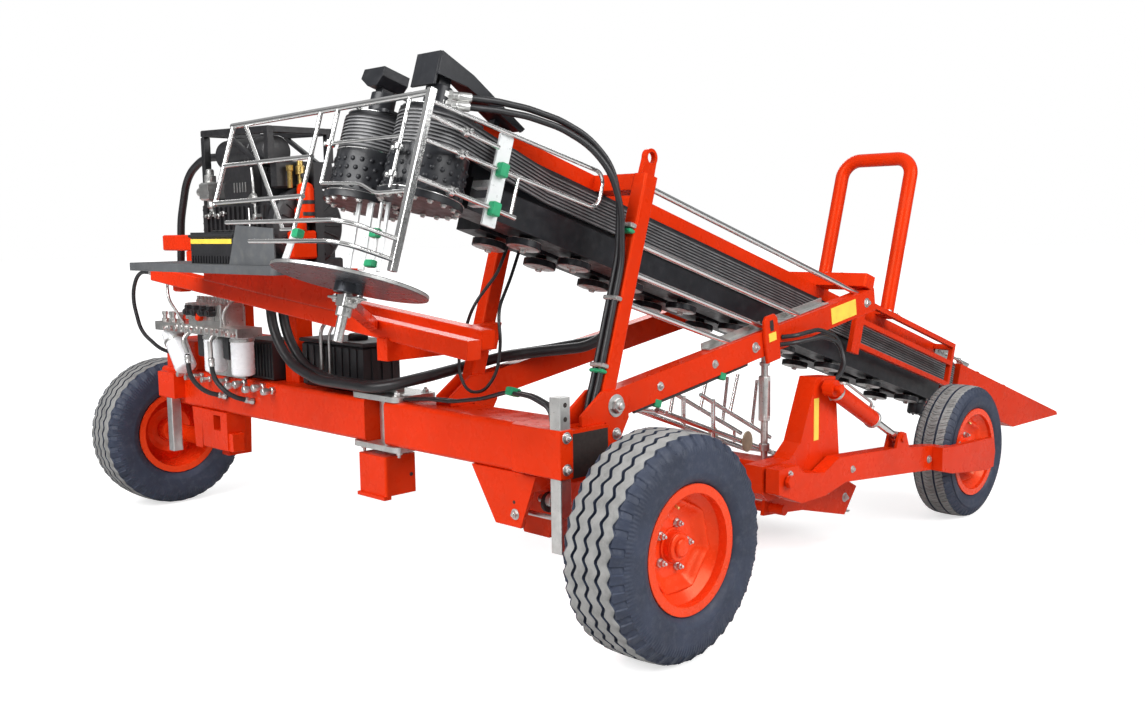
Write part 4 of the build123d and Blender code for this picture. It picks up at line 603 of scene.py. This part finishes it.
# dark disc painted as the shade inside a hole in a right face
dark.lathe((-0.070, 1.2620, 0.445), RIGHT, ((0.0085, -0.002), (0.0085, 0.0004), (0.007, 0.0006)), 18)
dark.emit("openings_shade", "chassis", "black_steel", "dark")

plates = Bag()
# lug on the right lift arm, with its slotted eye
lug = [(-0.046, -0.080), (0.046, -0.080), (0.050, 0.020), (0.046, 0.090), (0.028, 0.108), (-0.028, 0.108), (-0.046, 0.090), (-0.050, 0.020)]
plates.prism(lug, on_arm(0.980, 0.2700, 0.0), arm_dir, arm_up, 0.014, 0.003)
# divider seams and edge strips
for y0, y1 in ((0.478, 0.622), (0.658, 0.802)):
    sgn = -1 if y0 < MID_Y else 1
    yc = (y0 + y1) / 2
    for s, w in ((3.30, 0.130), (3.62, 0.098)):
        shift = sgn * 0.130 * (s - 3.104) / 1.236
        top = 0.400 - 0.034 * (s - 3.104) / 1.216
        plates.box(spot(s, yc + shift, top + 0.001), (0.022, w, 0.005), DOWN, Y, 0.0012)
# pockets of the beam round the height legs: plan outline, foot, height
for plan, z0, h in (([(-0.199, 0.500), (-0.256, 0.458), (-0.256, 0.222), (-0.199, 0.222)], 0.600, 0.163),
                    ([(-0.199, 3.085), (-0.256, 3.050), (-0.256, 2.885), (-0.199, 2.885)], 0.615, 0.125)):
    plates.prism(plan, (0, 0, z0), X, Y, h, 0.003)
plates.emit("red_plates", "chassis", "red_paint", "red_paint")

# dark sheet painted as the shade inside the slot of the lug's eye
slots = Bag()
slots.prism([(-0.010, -0.022), (0.010, -0.022), (0.013, 0.0), (0.010, 0.022), (-0.010, 0.022), (-0.013, 0.0)],
            on_arm(0.980, 0.2559, 0.066), arm_dir, arm_up, 0.0012, 0.0003)
slots.emit("lug_slot_shade", "chassis", "black_steel", "dark")

yellow = Bag()
yellow.box(on_arm(1.53, 0.2693, 0.0), (0.200, 0.0014, 0.070), arm_dir, Y, 0.0004)
yellow.box(on_arm(0.980, 0.2555, 0.020), (0.050, 0.0012, 0.034), arm_dir, Y, 0.0004)
yellow.box((1.085, 0.1193, 0.640), (0.034, 0.0014, 0.170), X, Y, 0.0004)
yellow.box((-0.6880, 1.640, 1.3840), (0.0016, 0.310, 0.018), X, Y, 0.0004)
yellow.emit("blank_yellow_patches", "chassis", "white_plate", "yellow")

# ------------------------------------------------------------------ rails: collars, green clamps, hanging bars
bright = Bag()
for p, a in ((spot(-0.800, 0.452, 0.235), UP), (spot(-0.800, 0.452, 0.150), UP), (spot(-0.645, 0.350, 0.2620), DOWN),
             (spot(-0.654, 0.350, 0.142), DOWN), (spot(-0.645, 0.350, 0.333), DOWN), (spot(-0.800, 0.830, 0.270), UP)):
    bright.collar(p, a, 0.0078, 0.0165, 0.018, 24)
    u = across(Vector(a))[0]
    bright.lathe(p + u * 0.015, u, ((0.006, 0), (0.006, 0.008), (0.0085, 0.009), (0.0085, 0.016), (0.006, 0.018)), 12)
# rod in front of the drums
bright.rod((spot(-0.800, 0.830, 0.136), spot(-0.800, 0.614, 0.128), spot(-0.800, 0.521, 0.093), spot(-0.800, 0.362, 0.096)), 0.006, 12, 0.03)
# rod that ties the rings of the hairpin
bright.rod((spot(-0.400, 0.350, 0.2750), spot(-0.400, 0.350, 0.142)), 0.0065, 12)
bright.emit("rail_collars_and_rods", "chassis", "bright_tube", "bright_tube")

bars = Bag()
# flat bars hung under the drums: top y and n, foot y and n, width
for ya, na, yb, nb, w in ((0.742, 0.098, 0.722, -0.130, 0.020), (0.678, 0.098, 0.652, -0.124, 0.030), (0.585, 0.098, 0.560, -0.128, 0.016)):
    a, b = spot(-0.700, ya, na), spot(-0.700, yb, nb)
    d = (b - a).normalized()
    bars.box((a + b) / 2, ((b - a).length, w, 0.008), d, Y, 0.0015)
bars.rod((spot(-0.700, 0.620, 0.098), spot(-0.700, 0.596, -0.113)), 0.006, 12)
# flat bar at the foot of the second strut
a, b = spot(-0.812, 0.898, -0.020), spot(-0.812, 0.922, -0.130)
bars.box((a + b) / 2, ((b - a).length, 0.036, 0.007), (b - a).normalized(), Y, 0.0015)
bars.emit("hanging_bars", "chassis", "white_plate", "white_plate")

green = Bag()
for p, size in ((spot(-0.474, 0.348, 0.2690), (0.032, 0.030, 0.046)), (spot(-0.474, 0.348, 0.142), (0.032, 0.030, 0.046)),
                (spot(-0.708, 0.608, -0.005), (0.022, 0.034, 0.030)), (spot(-0.708, 0.598, -0.104), (0.022, 0.040, 0.024)),
                (spot(-0.812, 0.880, -0.036), (0.026, 0.034, 0.030)), (Vector((-0.161, 0.548, 0.8525)), (0.046, 0.030, 0.030)),
                (Vector((0.287, 0.2790, 0.7860)), (0.034, 0.022, 0.030)), (Vector((0.670, 0.2790, 0.8450)), (0.034, 0.022, 0.030)),
                (spot(0.0862, 0.2985, 0.240), (0.028, 0.058, 0.014)), (spot(0.0862, 0.2985, -0.257), (0.028, 0.058, 0.014))):
    green.box(p, size, DOWN, Y, 0.004)
green.emit("green_clamps", "chassis", "black_plastic", "green")

ties = Bag()
for n in (-0.210, -0.150):
    for ds, dy, a, b in ((0.0345, 0, 0.003, 0.066), (-0.0345, 0, 0.003, 0.066), (0, 0.0315, 0.072, 0.003), (0, -0.0315, 0.072, 0.003)):
        ties.box(spot(0.133 + ds, 0.985 + dy, n), (a, b, 0.007), DOWN, Y, 0.0006)
ties.emit("post_ties", "chassis", "white_plate", "filter_white")

# ------------------------------------------------------------------ soil shaker plate, front motor
beige = Bag()
beige.prism([(0.036 * cos(2 * pi * k / 32), 0.046 * sin(2 * pi * k / 32)) for k in range(32)], (1.210, 0.549, 0.480), X, Z, 0.006, 0.001)
beige.prism([(0.036 * cos(2 * pi * k / 32), 0.046 * sin(2 * pi * k / 32)) for k in range(32)], (1.210, 0.737, 0.480), X, Z, 0.006, 0.001)
beige.emit("shaker_plates", "chassis", "zinc", "beige")
motor = Bag()
motor.lathe(spot(2.820, 0.550, 0.148), -UP, ((0.044, 0), (0.046, 0.003), (0.046, 0.030), (0.042, 0.032), (0.042, 0.078), (0.038, 0.084), (0.020, 0.085)), 28)
for k in range(4):
    motor.bolt(spot(2.820 + 0.028 * cos(k * pi / 2 + 0.8), 0.550 + 0.028 * sin(k * pi / 2 + 0.8), 0.0635), -UP, 0.006, 0.005, washer=False)
motor.emit("front_belt_motor", "chassis", "black_steel", "black_steel")

# ------------------------------------------------------------------ cylinder furniture
u, r = Vector((1.130, 0.080, 0.765)), Vector((1.660, 0.080, 0.490))
d = (r - u).normalized()
top = Vector((-d.z, 0, d.x)) if d.x > 0 else Vector((d.z, 0, -d.x))
cyl = Bag()
cyl.collar(u + d * 0.364, d, 0.0175, 0.0385, 0.016, 36)
cyl.collar(u + d * 0.040, d, 0.0345, 0.0375, 0.014, 36)
for t in (0.075, 0.335):
    p = u + d * t + top * 0.034
    cyl.lathe(p, top, ((0.014, 0), (0.014, 0.006), (0.012, 0.007), (0.0125, 0.008), (0.0125, 0.018), (0.010, 0.019)), 6)
cyl.rod((u + d * 0.335 + top * 0.047, u + d * 0.320 + top * 0.060, u + d * 0.100 + top * 0.060, u + d * 0.075 + top * 0.048), 0.0055, 12, 0.02)
cyl.emit("cylinder_ports", "cylinder_barrel", "zinc", "zinc")

# ------------------------------------------------------------------ wheel arm furniture
arm = Bag()
for x, z, rr in ((0.800, 0.475, 0.008), (1.900, 0.360, 0.012), (1.990, 0.345, 0.012), (1.250, 0.420, 0.010)):
    arm.bolt((x, 0.050, z), RIGHT, rr, 0.008)
arm.emit("wheel_arm_bolts", "wheel_arm", "zinc", "zinc")

# ------------------------------------------------------------------ engine
eng = Bag()
eng.span((-0.240, 1.980, 1.251), (0.090, 2.540, 1.551), 0.014)
eng.span((-0.205, 2.040, 1.551), (0.060, 2.440, 1.675), 0.012)
eng.span((-0.246, 2.080, 1.545), (-0.206, 2.320, 1.708), 0.010)
for k in range(13):
    eng.span((-0.252, 2.000 + 0.040 * k, 1.275), (-0.240, 2.012 + 0.040 * k, 1.530), 0.002)
for k in range(9):
    eng.span((-0.235, 2.541, 1.275 + 0.030 * k), (0.080, 2.553, 1.283 + 0.030 * k), 0.002)
for k in range(14):
    eng.span((-0.200 + 0.018 * k, 2.050, 1.676), (-0.194 + 0.018 * k, 2.430, 1.694), 0.0015)
eng.lathe((-0.075, 1.980, 1.440), -Y, ((0.165, 0), (0.172, 0.004), (0.172, 0.050), (0.160, 0.062), (0.120, 0.066), (0.060, 0.068)), 48)
for k in range(18):
    th = 2 * pi * k / 18
    c = Vector((-0.075 + 0.110 * cos(th), 1.913, 1.440 + 0.110 * sin(th)))
    eng.box(c, (0.070, 0.010, 0.006), Vector((cos(th), 0, sin(th))), Y, 0.001)
eng.span((-0.245, 1.930, 1.251), (0.095, 1.982, 1.300), 0.006)
eng.span((-0.215, 1.935, 1.600), (0.060, 1.985, 1.715), 0.010)
# air cleaner
eng.lathe((-0.150, 2.030, 1.760), Y, ((0.050, 0), (0.066, 0.003), (0.070, 0.010), (0.070, 0.120), (0.067, 0.124), (0.067, 0.132), (0.070, 0.136),
                                      (0.070, 0.300), (0.074, 0.303), (0.074, 0.330), (0.070, 0.334), (0.070, 0.408), (0.060, 0.420)), 40)
eng.span((-0.175, 2.180, 1.660), (-0.095, 2.300, 1.730), 0.006)
# square frame over the engine
for x in (-0.232, 0.060):
    eng.box((x, 2.500, 1.690), (0.030, 0.030, 0.310), bevel=0.004)
    eng.box((x, 1.960, 1.775), (0.030, 0.030, 0.130), bevel=0.004)
    a, b = Vector((x, 2.5145, 1.860)), Vector((x, 1.945, 1.845))
    eng.box((a + b) / 2, (0.030, (b - a).length, 0.030), X, (b - a).normalized(), 0.004)
    a, b = Vector((x, 2.300, 1.842)), Vector((x, 2.020, 1.700))
    eng.box((a + b) / 2, (0.020, (b - a).length, 0.020), X, (b - a).normalized(), 0.003)
for y, z in ((2.500, 1.860), (1.960, 1.8455)):
    eng.box((-0.086, y, z), (0.262, 0.029, 0.029), bevel=0.004)
eng.emit("engine_look", "chassis", "engine_black", "engine_black", 35, ("engine",))

grey = Bag()
for k in range(5):
    grey.box((-0.2468, 2.140 + 0.024 * k, 1.610), (0.0016, 0.007, 0.042), bevel=0.0004)
# carburettor and pump at the engine's left end
grey.span((-0.285, 2.400, 1.560), (-0.205, 2.480, 1.640), 0.008)
grey.lathe((-0.250, 2.440, 1.640), Z, ((0.024, 0), (0.026, 0.003), (0.026, 0.030), (0.018, 0.036), (0.018, 0.055), (0.012, 0.060)), 20)
grey.lathe((-0.250, 2.480, 1.600), Y, ((0.026, 0), (0.028, 0.004), (0.028, 0.030), (0.020, 0.034), (0.020, 0.056)), 24)
grey.lathe((-0.245, 2.440, 1.560), -Z, ((0.020, 0), (0.022, 0.004), (0.022, 0.030), (0.014, 0.036), (0.014, 0.048)), 20)
grey.lathe((-0.252, 2.060, 1.560), REAR, ((0.024, 0), (0.024, 0.010), (0.016, 0.012), (0.016, 0.020)), 24)
grey.lathe((-0.240, 2.040, 1.480), REAR, ((0.016, 0), (0.016, 0.030), (0.010, 0.034)), 6)
grey.rod(((-0.252, 2.075, 1.690), (-0.258, 2.060, 1.640), (-0.255, 2.050, 1.480)), 0.006, 10, 0.02)
grey.rod(((-0.252, 2.110, 1.520), (-0.262, 2.090, 1.430), (-0.255, 2.100, 1.290)), 0.005, 10, 0.02)
for k in range(4):
    grey.lathe((-0.2445, 2.330 + 0.045 * k, 1.500 - 0.01 * (k % 2)), REAR, ((0.013, 0), (0.013, 0.012), (0.009, 0.014), (0.009, 0.026)), 6)
grey.emit("engine_fittings", "chassis", "zinc", "zinc")

brass = Bag()
brass.lathe((-0.120, 1.905, 1.575), Z, ((0.016, 0), (0.018, 0.003), (0.018, 0.040), (0.012, 0.044), (0.012, 0.080), (0.020, 0.083), (0.020, 0.115),
                                        (0.013, 0.120), (0.013, 0.140)), 12)
brass.lathe((-0.170, 1.908, 1.600), Z, ((0.010, 0), (0.010, 0.070), (0.014, 0.072), (0.014, 0.095)), 6)
brass.emit("engine_brass_fittings", "chassis", "zinc", "brass")

red = Bag()
red.span((-0.285, 2.410, 1.335), (-0.253, 2.860, 1.408), 0.005)
red.span((-0.281, 2.430, 1.256), (-0.253, 2.640, 1.335), 0.004)
red.span((-0.190, 1.865, 1.300), (-0.075, 1.912, 1.420), 0.008)
red.lathe((-0.140, 1.885, 1.420), Z, ((0.022, 0), (0.024, 0.003), (0.024, 0.090), (0.018, 0.098), (0.010, 0.100)), 20)
# red bottle on the black upright
red.lathe((-0.112, 1.885, 1.455), Z, ((0.030, 0), (0.036, 0.006), (0.036, 0.140), (0.030, 0.158), (0.016, 0.168)), 28)
# valve bracket with rounded corner
red.prism([(2.545, 0.960), (2.860, 0.935), (2.860, 1.030), (2.835, 1.066), (2.780, 1.085), (2.545, 1.085)], (-0.2005, 0, 0), Y, Z, 0.012, 0.003)
red.span((-0.355, 2.565, 1.150), (-0.300, 2.640, 1.196), 0.006)
red.lathe((-0.322, 2.445, 1.040), REAR, ((0.018, 0), (0.019, 0.003), (0.019, 0.020), (0.014, 0.026)), 20)
red.emit("red_engine_parts", "chassis", "red_paint", "red_paint")

black = Bag()
black.lathe((-0.105, 0.425, 0.470), Y, ((0.030, 0), (0.036, 0.003), (0.036, 0.016), (0.030, 0.019)), 28)
black.box((-0.060, 1.885, 1.480), (0.040, 0.040, 0.458), bevel=0.004)
black.lathe((-0.112, 1.885, 1.623), Z, ((0.012, 0), (0.012, 0.020), (0.018, 0.022), (0.018, 0.036), (0.010, 0.040)), 16)
black.collar((-0.112, 1.885, 1.540), Z, 0.0355, 0.0385, 0.016, 32)
black.collar((-0.112, 1.885, 1.490), Z, 0.0355, 0.0385, 0.016, 32)
# box on the beam behind the hoses, with ribs
black.span((-0.160, 2.125, 0.755), (-0.010, 2.400, 0.935), 0.008)
for k in range(10):
    black.span((-0.166, 2.140 + 0.026 * k, 0.770), (-0.159, 2.148 + 0.026 * k, 0.920), 0.0015)
# dark unit on the beam behind the thick hoses
black.span((-0.130, 1.480, 0.7545), (0.052, 1.930, 0.945), 0.010)
black.span((-0.138, 1.470, 0.945), (0.058, 1.940, 0.962), 0.004)
for k in range(8):
    black.span((-0.137, 1.520 + 0.052 * k, 0.770), (-0.129, 1.532 + 0.052 * k, 0.935), 0.002)
for k in range(3):
    black.span((-0.090 + 0.050 * k, 1.472, 0.770), (-0.078 + 0.050 * k, 1.481, 0.935), 0.002)
black.lathe((-0.040, 1.640, 0.962), Z, ((0.040, 0), (0.042, 0.003), (0.042, 0.020), (0.036, 0.026), (0.020, 0.028)), 24)
# battery: ribs at the foot, lid edge, caps
for k in range(15):
    black.span((-0.6915, 1.486 + 0.021 * k, 1.303), (-0.6870, 1.496 + 0.021 * k, 1.330), 0.001)
black.span((-0.692, 1.471, 1.398), (-0.508, 1.809, 1.410), 0.003)
for k in range(6):
    black.lathe((-0.600, 1.520 + 0.048 * k, 1.418), Z, ((0.014, 0), (0.015, 0.002), (0.015, 0.006), (0.011, 0.008)), 18)
black.emit("black_boxes", "chassis", "black_plastic", "black_plastic")

# ------------------------------------------------------------------ hydraulics at the left
hyd = Bag()
for k in range(9):
    y = 2.295 + 0.034 * k
    hyd.span((-0.3235, y, 1.024), (-0.198, y + 0.028, 1.098), 0.003)
    hyd.lathe((-0.262, y + 0.014, 1.098), Z, ((0.011, 0), (0.012, 0.002), (0.012, 0.012), (0.008, 0.014), (0.008, 0.030)), 6)
for k in range(11):
    y = 2.205 + 0.047 * k
    hyd.lathe((-0.329, y, 0.980), REAR, ((0.015, 0), (0.016, 0.002), (0.016, 0.012), (0.011, 0.014), (0.011, 0.026), (0.0135, 0.027), (0.0135, 0.038)), 6)
# foot and direction of each filter
FILTERS = (((-0.270, 2.190, 0.800), (0, 0, 1)), ((-0.270, 2.430, 0.800), (0, 0, 1)), ((-0.270, 2.725, 0.787), (0, 0.6, 0.8)))
for foot, a in FILTERS:
    foot, a = Vector(foot), Vector(a)
    hyd.lathe(foot + a * 0.138, a, ((0.0505, 0), (0.054, 0.002), (0.054, 0.014), (0.0505, 0.016)), 36)
    for k in range(3):
        hyd.lathe((-0.329, foot.y - 0.045 + 0.045 * k, 0.975), REAR, ((0.012, 0), (0.012, 0.012), (0.009, 0.014), (0.009, 0.026)), 6)
# fittings along the left end of the block
for k in range(5):
    y = 2.700 + 0.042 * k
    hyd.lathe((-0.290 + 0.012 * (k % 2), y, 1.000), Z, ((0.014, 0), (0.015, 0.002), (0.015, 0.014), (0.010, 0.016), (0.010, 0.030), (0.013, 0.031), (0.013, 0.046)), 6)
# bright return pipes
hyd.rod(((-0.325, 2.330, 0.965), (-0.350, 2.330, 0.940), (-0.345, 2.335, 0.860)), 0.011, 14, 0.03)
hyd.rod(((-0.325, 2.560, 0.965), (-0.360, 2.565, 0.935), (-0.345, 2.555, 0.870)), 0.010, 14, 0.03)
hyd.rod(((-0.330, 2.640, 1.172), (-0.345, 2.720, 1.190), (-0.350, 2.700, 1.110), (-0.300, 2.660, 1.000)), 0.007, 12, 0.03)
hyd.rod(((-0.315, 2.250, 1.010), (-0.335, 2.235, 1.060), (-0.300, 2.215, 1.120), (-0.200, 2.215, 1.130)), 0.007, 12, 0.03)
# bright pipes beside the dark unit
hyd.rod(((-0.1445, 1.760, 0.775), (-0.1445, 1.760, 1.000), (-0.120, 1.752, 1.040)), 0.008, 12, 0.02)
hyd.rod(((-0.1445, 1.700, 0.775), (-0.1445, 1.700, 0.985), (-0.125, 1.690, 1.030)), 0.006, 12, 0.02)
hyd.emit("hydraulic_fittings", "chassis", "zinc", "zinc")

coils = Bag()
for k in range(4):
    y = 2.325 + 0.068 * k
    coils.lathe((-0.3235, y, 1.062), REAR, ((0.016, 0), (0.017, 0.002), (0.017, 0.034), (0.012, 0.036), (0.012, 0.042)), 18)
    coils.box((-0.342, y, 1.084), (0.024, 0.024, 0.016), bevel=0.002)
for y in (2.310, 2.540):
    coils.box((-0.255, y, 0.905), (0.060, 0.050, 0.110), bevel=0.006)
coils.emit("valve_coils", "chassis", "black_plastic", "black_plastic")

domes = Bag()
for foot, a in FILTERS:
    foot, a = Vector(foot), Vector(a)
    domes.lathe(foot + a * 0.001, -a, ((0.050, -0.001), (0.0495, 0.004), (0.046, 0.010), (0.036, 0.014), (0.015, 0.0155)), 40)
    for z in (0.015, 0.128):
        domes.collar(foot + a * z, a, 0.0495, 0.0512, 0.006, 40)
domes.emit("filter_ends", "chassis", "filter_white", "filter_white")

# ------------------------------------------------------------------ turntable furniture
tab = Bag()
for th in (0.4, 2.5, 4.6):
    tab.bolt(spot(-0.830 + 0.028 * cos(th), 0.500 + 0.028 * sin(th), -0.188), UP, 0.006, 0.005)
tab.collar(spot(-0.830, 0.500, -0.194), UP, 0.2355, 0.2378, 0.009, 96)
tab.emit("turntable_edge", "turntable", "zinc", "zinc")
post = Bag()
post.collar(spot(-0.830, 0.500, -0.285), UP, 0.0152, 0.024, 0.028, 24)
post.box(spot(-0.830, 0.473, -0.254), (0.038, 0.008, 0.026), DOWN, Y, 0.002)
post.bolt(spot(-0.840, 0.469, -0.254), RIGHT, 0.006, 0.005)
post.bolt(spot(-0.820, 0.469, -0.254), RIGHT, 0.006, 0.005)
for y in (0.440, 0.560):
    post.box(spot(-0.830, (y + 0.500) / 2 + (0.012 if y > 0.5 else -0.012), -0.243), (0.030, 0.078, 0.007), DOWN, Y, 0.002)
    post.bolt(spot(-0.830, y, -0.2470), -UP, 0.008, 0.007)
    post.bolt(spot(-0.830, y, -0.2390), UP, 0.007, 0.005)
post.emit("turntable_shaft_fittings", "chassis", "zinc", "zinc")

# ------------------------------------------------------------------ camera
yaw, pitch, roll = radians(45.37), radians(6.51), radians(-0.81)
D = Vector((sin(yaw) * cos(pitch), cos(yaw) * cos(pitch), -sin(pitch)))
R0 = Vector((cos(yaw), -sin(yaw), 0))
U0 = R0.cross(D)
RT = R0 * cos(roll) + U0 * sin(roll)
UT = -R0 * sin(roll) + U0 * cos(roll)
cam_data = bpy.data.cameras.new("camera")
cam = bpy.data.objects.new("camera", cam_data)
bpy.context.scene.collection.objects.link(cam)
m = Matrix((RT, UT, -D)).transposed().to_4x4()
m.translation = Vector((-2.815 - CX, -2.364 - CY, 1.417))
cam.matrix_world = m
cam_data.sensor_fit = "HORIZONTAL"
cam_data.sensor_width = 36.0
cam_data.lens = 36.0 * 1143.6 / 1145.0
bpy.context.scene.camera = cam

# ------------------------------------------------------------------ stage and light
bpy.ops.mesh.primitive_plane_add(size=120, location=(0, 0, -0.0005))
floor = bpy.context.object
floor.name = "floor"
floor_look = look("floor", (0.60, 0.60, 0.60), 0.01, (0.6, 0.7), scale=1.5, grain=60, bump=0.02, specular=0.1)
floor_shader = floor_look.node_tree.nodes["Principled BSDF"]
floor_shader.inputs["Emission Color"].default_value = (1, 1, 1, 1)
floor_seen = floor_look.node_tree.nodes.new("ShaderNodeLightPath")
floor_gain = floor_look.node_tree.nodes.new("ShaderNodeMath")
floor_gain.operation = "MULTIPLY"
floor_co = floor_look.node_tree.nodes.new("ShaderNodeTexCoord")
floor_far = floor_look.node_tree.nodes.new("ShaderNodeVectorMath")
floor_far.operation = "LENGTH"
floor_fade = floor_look.node_tree.nodes.new("ShaderNodeMapRange")
floor_fade.inputs["From Min"].default_value = 2.5
floor_fade.inputs["From Max"].default_value = 8.0
floor_fade.inputs["To Min"].default_value = 0.66
floor_fade.inputs["To Max"].default_value = 1.0
floor_look.node_tree.links.new(floor_co.outputs["Object"], floor_far.inputs[0])
floor_look.node_tree.links.new(floor_far.outputs["Value"], floor_fade.inputs["Value"])
floor_look.node_tree.links.new(floor_fade.outputs["Result"], floor_gain.inputs[1])
floor_look.node_tree.links.new(floor_seen.outputs["Is Camera Ray"], floor_gain.inputs[0])
floor_look.node_tree.links.new(floor_gain.outputs["Value"], floor_shader.inputs["Emission Strength"])
floor.data.materials.append(floor_look)
floor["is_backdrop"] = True

# soft studio: dark near the horizon, bright overhead, a plain white backdrop
world = bpy.data.worlds.new("world")
bpy.context.scene.world = world
world.use_nodes = True
wt = world.node_tree
studio = wt.nodes["Background"]
studio.inputs["Strength"].default_value = 0.47
w_co = wt.nodes.new("ShaderNodeTexCoord")
w_xyz = wt.nodes.new("ShaderNodeSeparateXYZ")
w_ramp = wt.nodes.new("ShaderNodeValToRGB")
w_ramp.color_ramp.elements[0].position = 0.02
w_ramp.color_ramp.elements[0].color = (0.10, 0.10, 0.105, 1)
w_ramp.color_ramp.elements[1].position = 0.75
w_ramp.color_ramp.elements[1].color = (1, 1, 1, 1)
w_mid = w_ramp.color_ramp.elements.new(0.30)
w_mid.color = (0.42, 0.42, 0.43, 1)
wt.links.new(w_co.outputs["Generated"], w_xyz.inputs["Vector"])
wt.links.new(w_xyz.outputs["Z"], w_ramp.inputs["Fac"])
wt.links.new(w_ramp.outputs["Color"], studio.inputs["Color"])
backdrop = wt.nodes.new("ShaderNodeBackground")
backdrop.inputs["Color"].default_value = (1, 1, 1, 1)
backdrop.inputs["Strength"].default_value = 1.0
w_path = wt.nodes.new("ShaderNodeLightPath")
w_mix = wt.nodes.new("ShaderNodeMixShader")
wt.links.new(w_path.outputs["Is Camera Ray"], w_mix.inputs["Fac"])
wt.links.new(studio.outputs["Background"], w_mix.inputs[1])
wt.links.new(backdrop.outputs["Background"], w_mix.inputs[2])
wt.links.new(w_mix.outputs["Shader"], wt.nodes["World Output"].inputs["Surface"])


def area(name, place, aim, size, power):
    data = bpy.data.lights.new(name, "AREA")
    data.shape = "RECTANGLE"
    data.size, data.size_y = size
    data.energy = power
    ob = bpy.data.objects.new(name, data)
    bpy.context.scene.collection.objects.link(ob)
    ob.location = place
    ob.rotation_euler = (Vector(aim) - Vector(place)).to_track_quat("-Z", "Y").to_euler()


area("key", (-6.5, -1.0, 4.6), (0, -0.3, 0.6), (5.0, 4.0), 530)
area("side", (0.5, -7.5, 4.6), (0.3, -0.6, 0.7), (6.0, 4.0), 500)
area("back", (4.5, 5.0, 5.0), (0, 0, 0.8), (4.0, 3.0), 160)
bpy.context.scene.view_settings.view_transform = "Standard"

size = {"cad": [list(c) for c in cad_box], "visual": [list(c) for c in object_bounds()]}
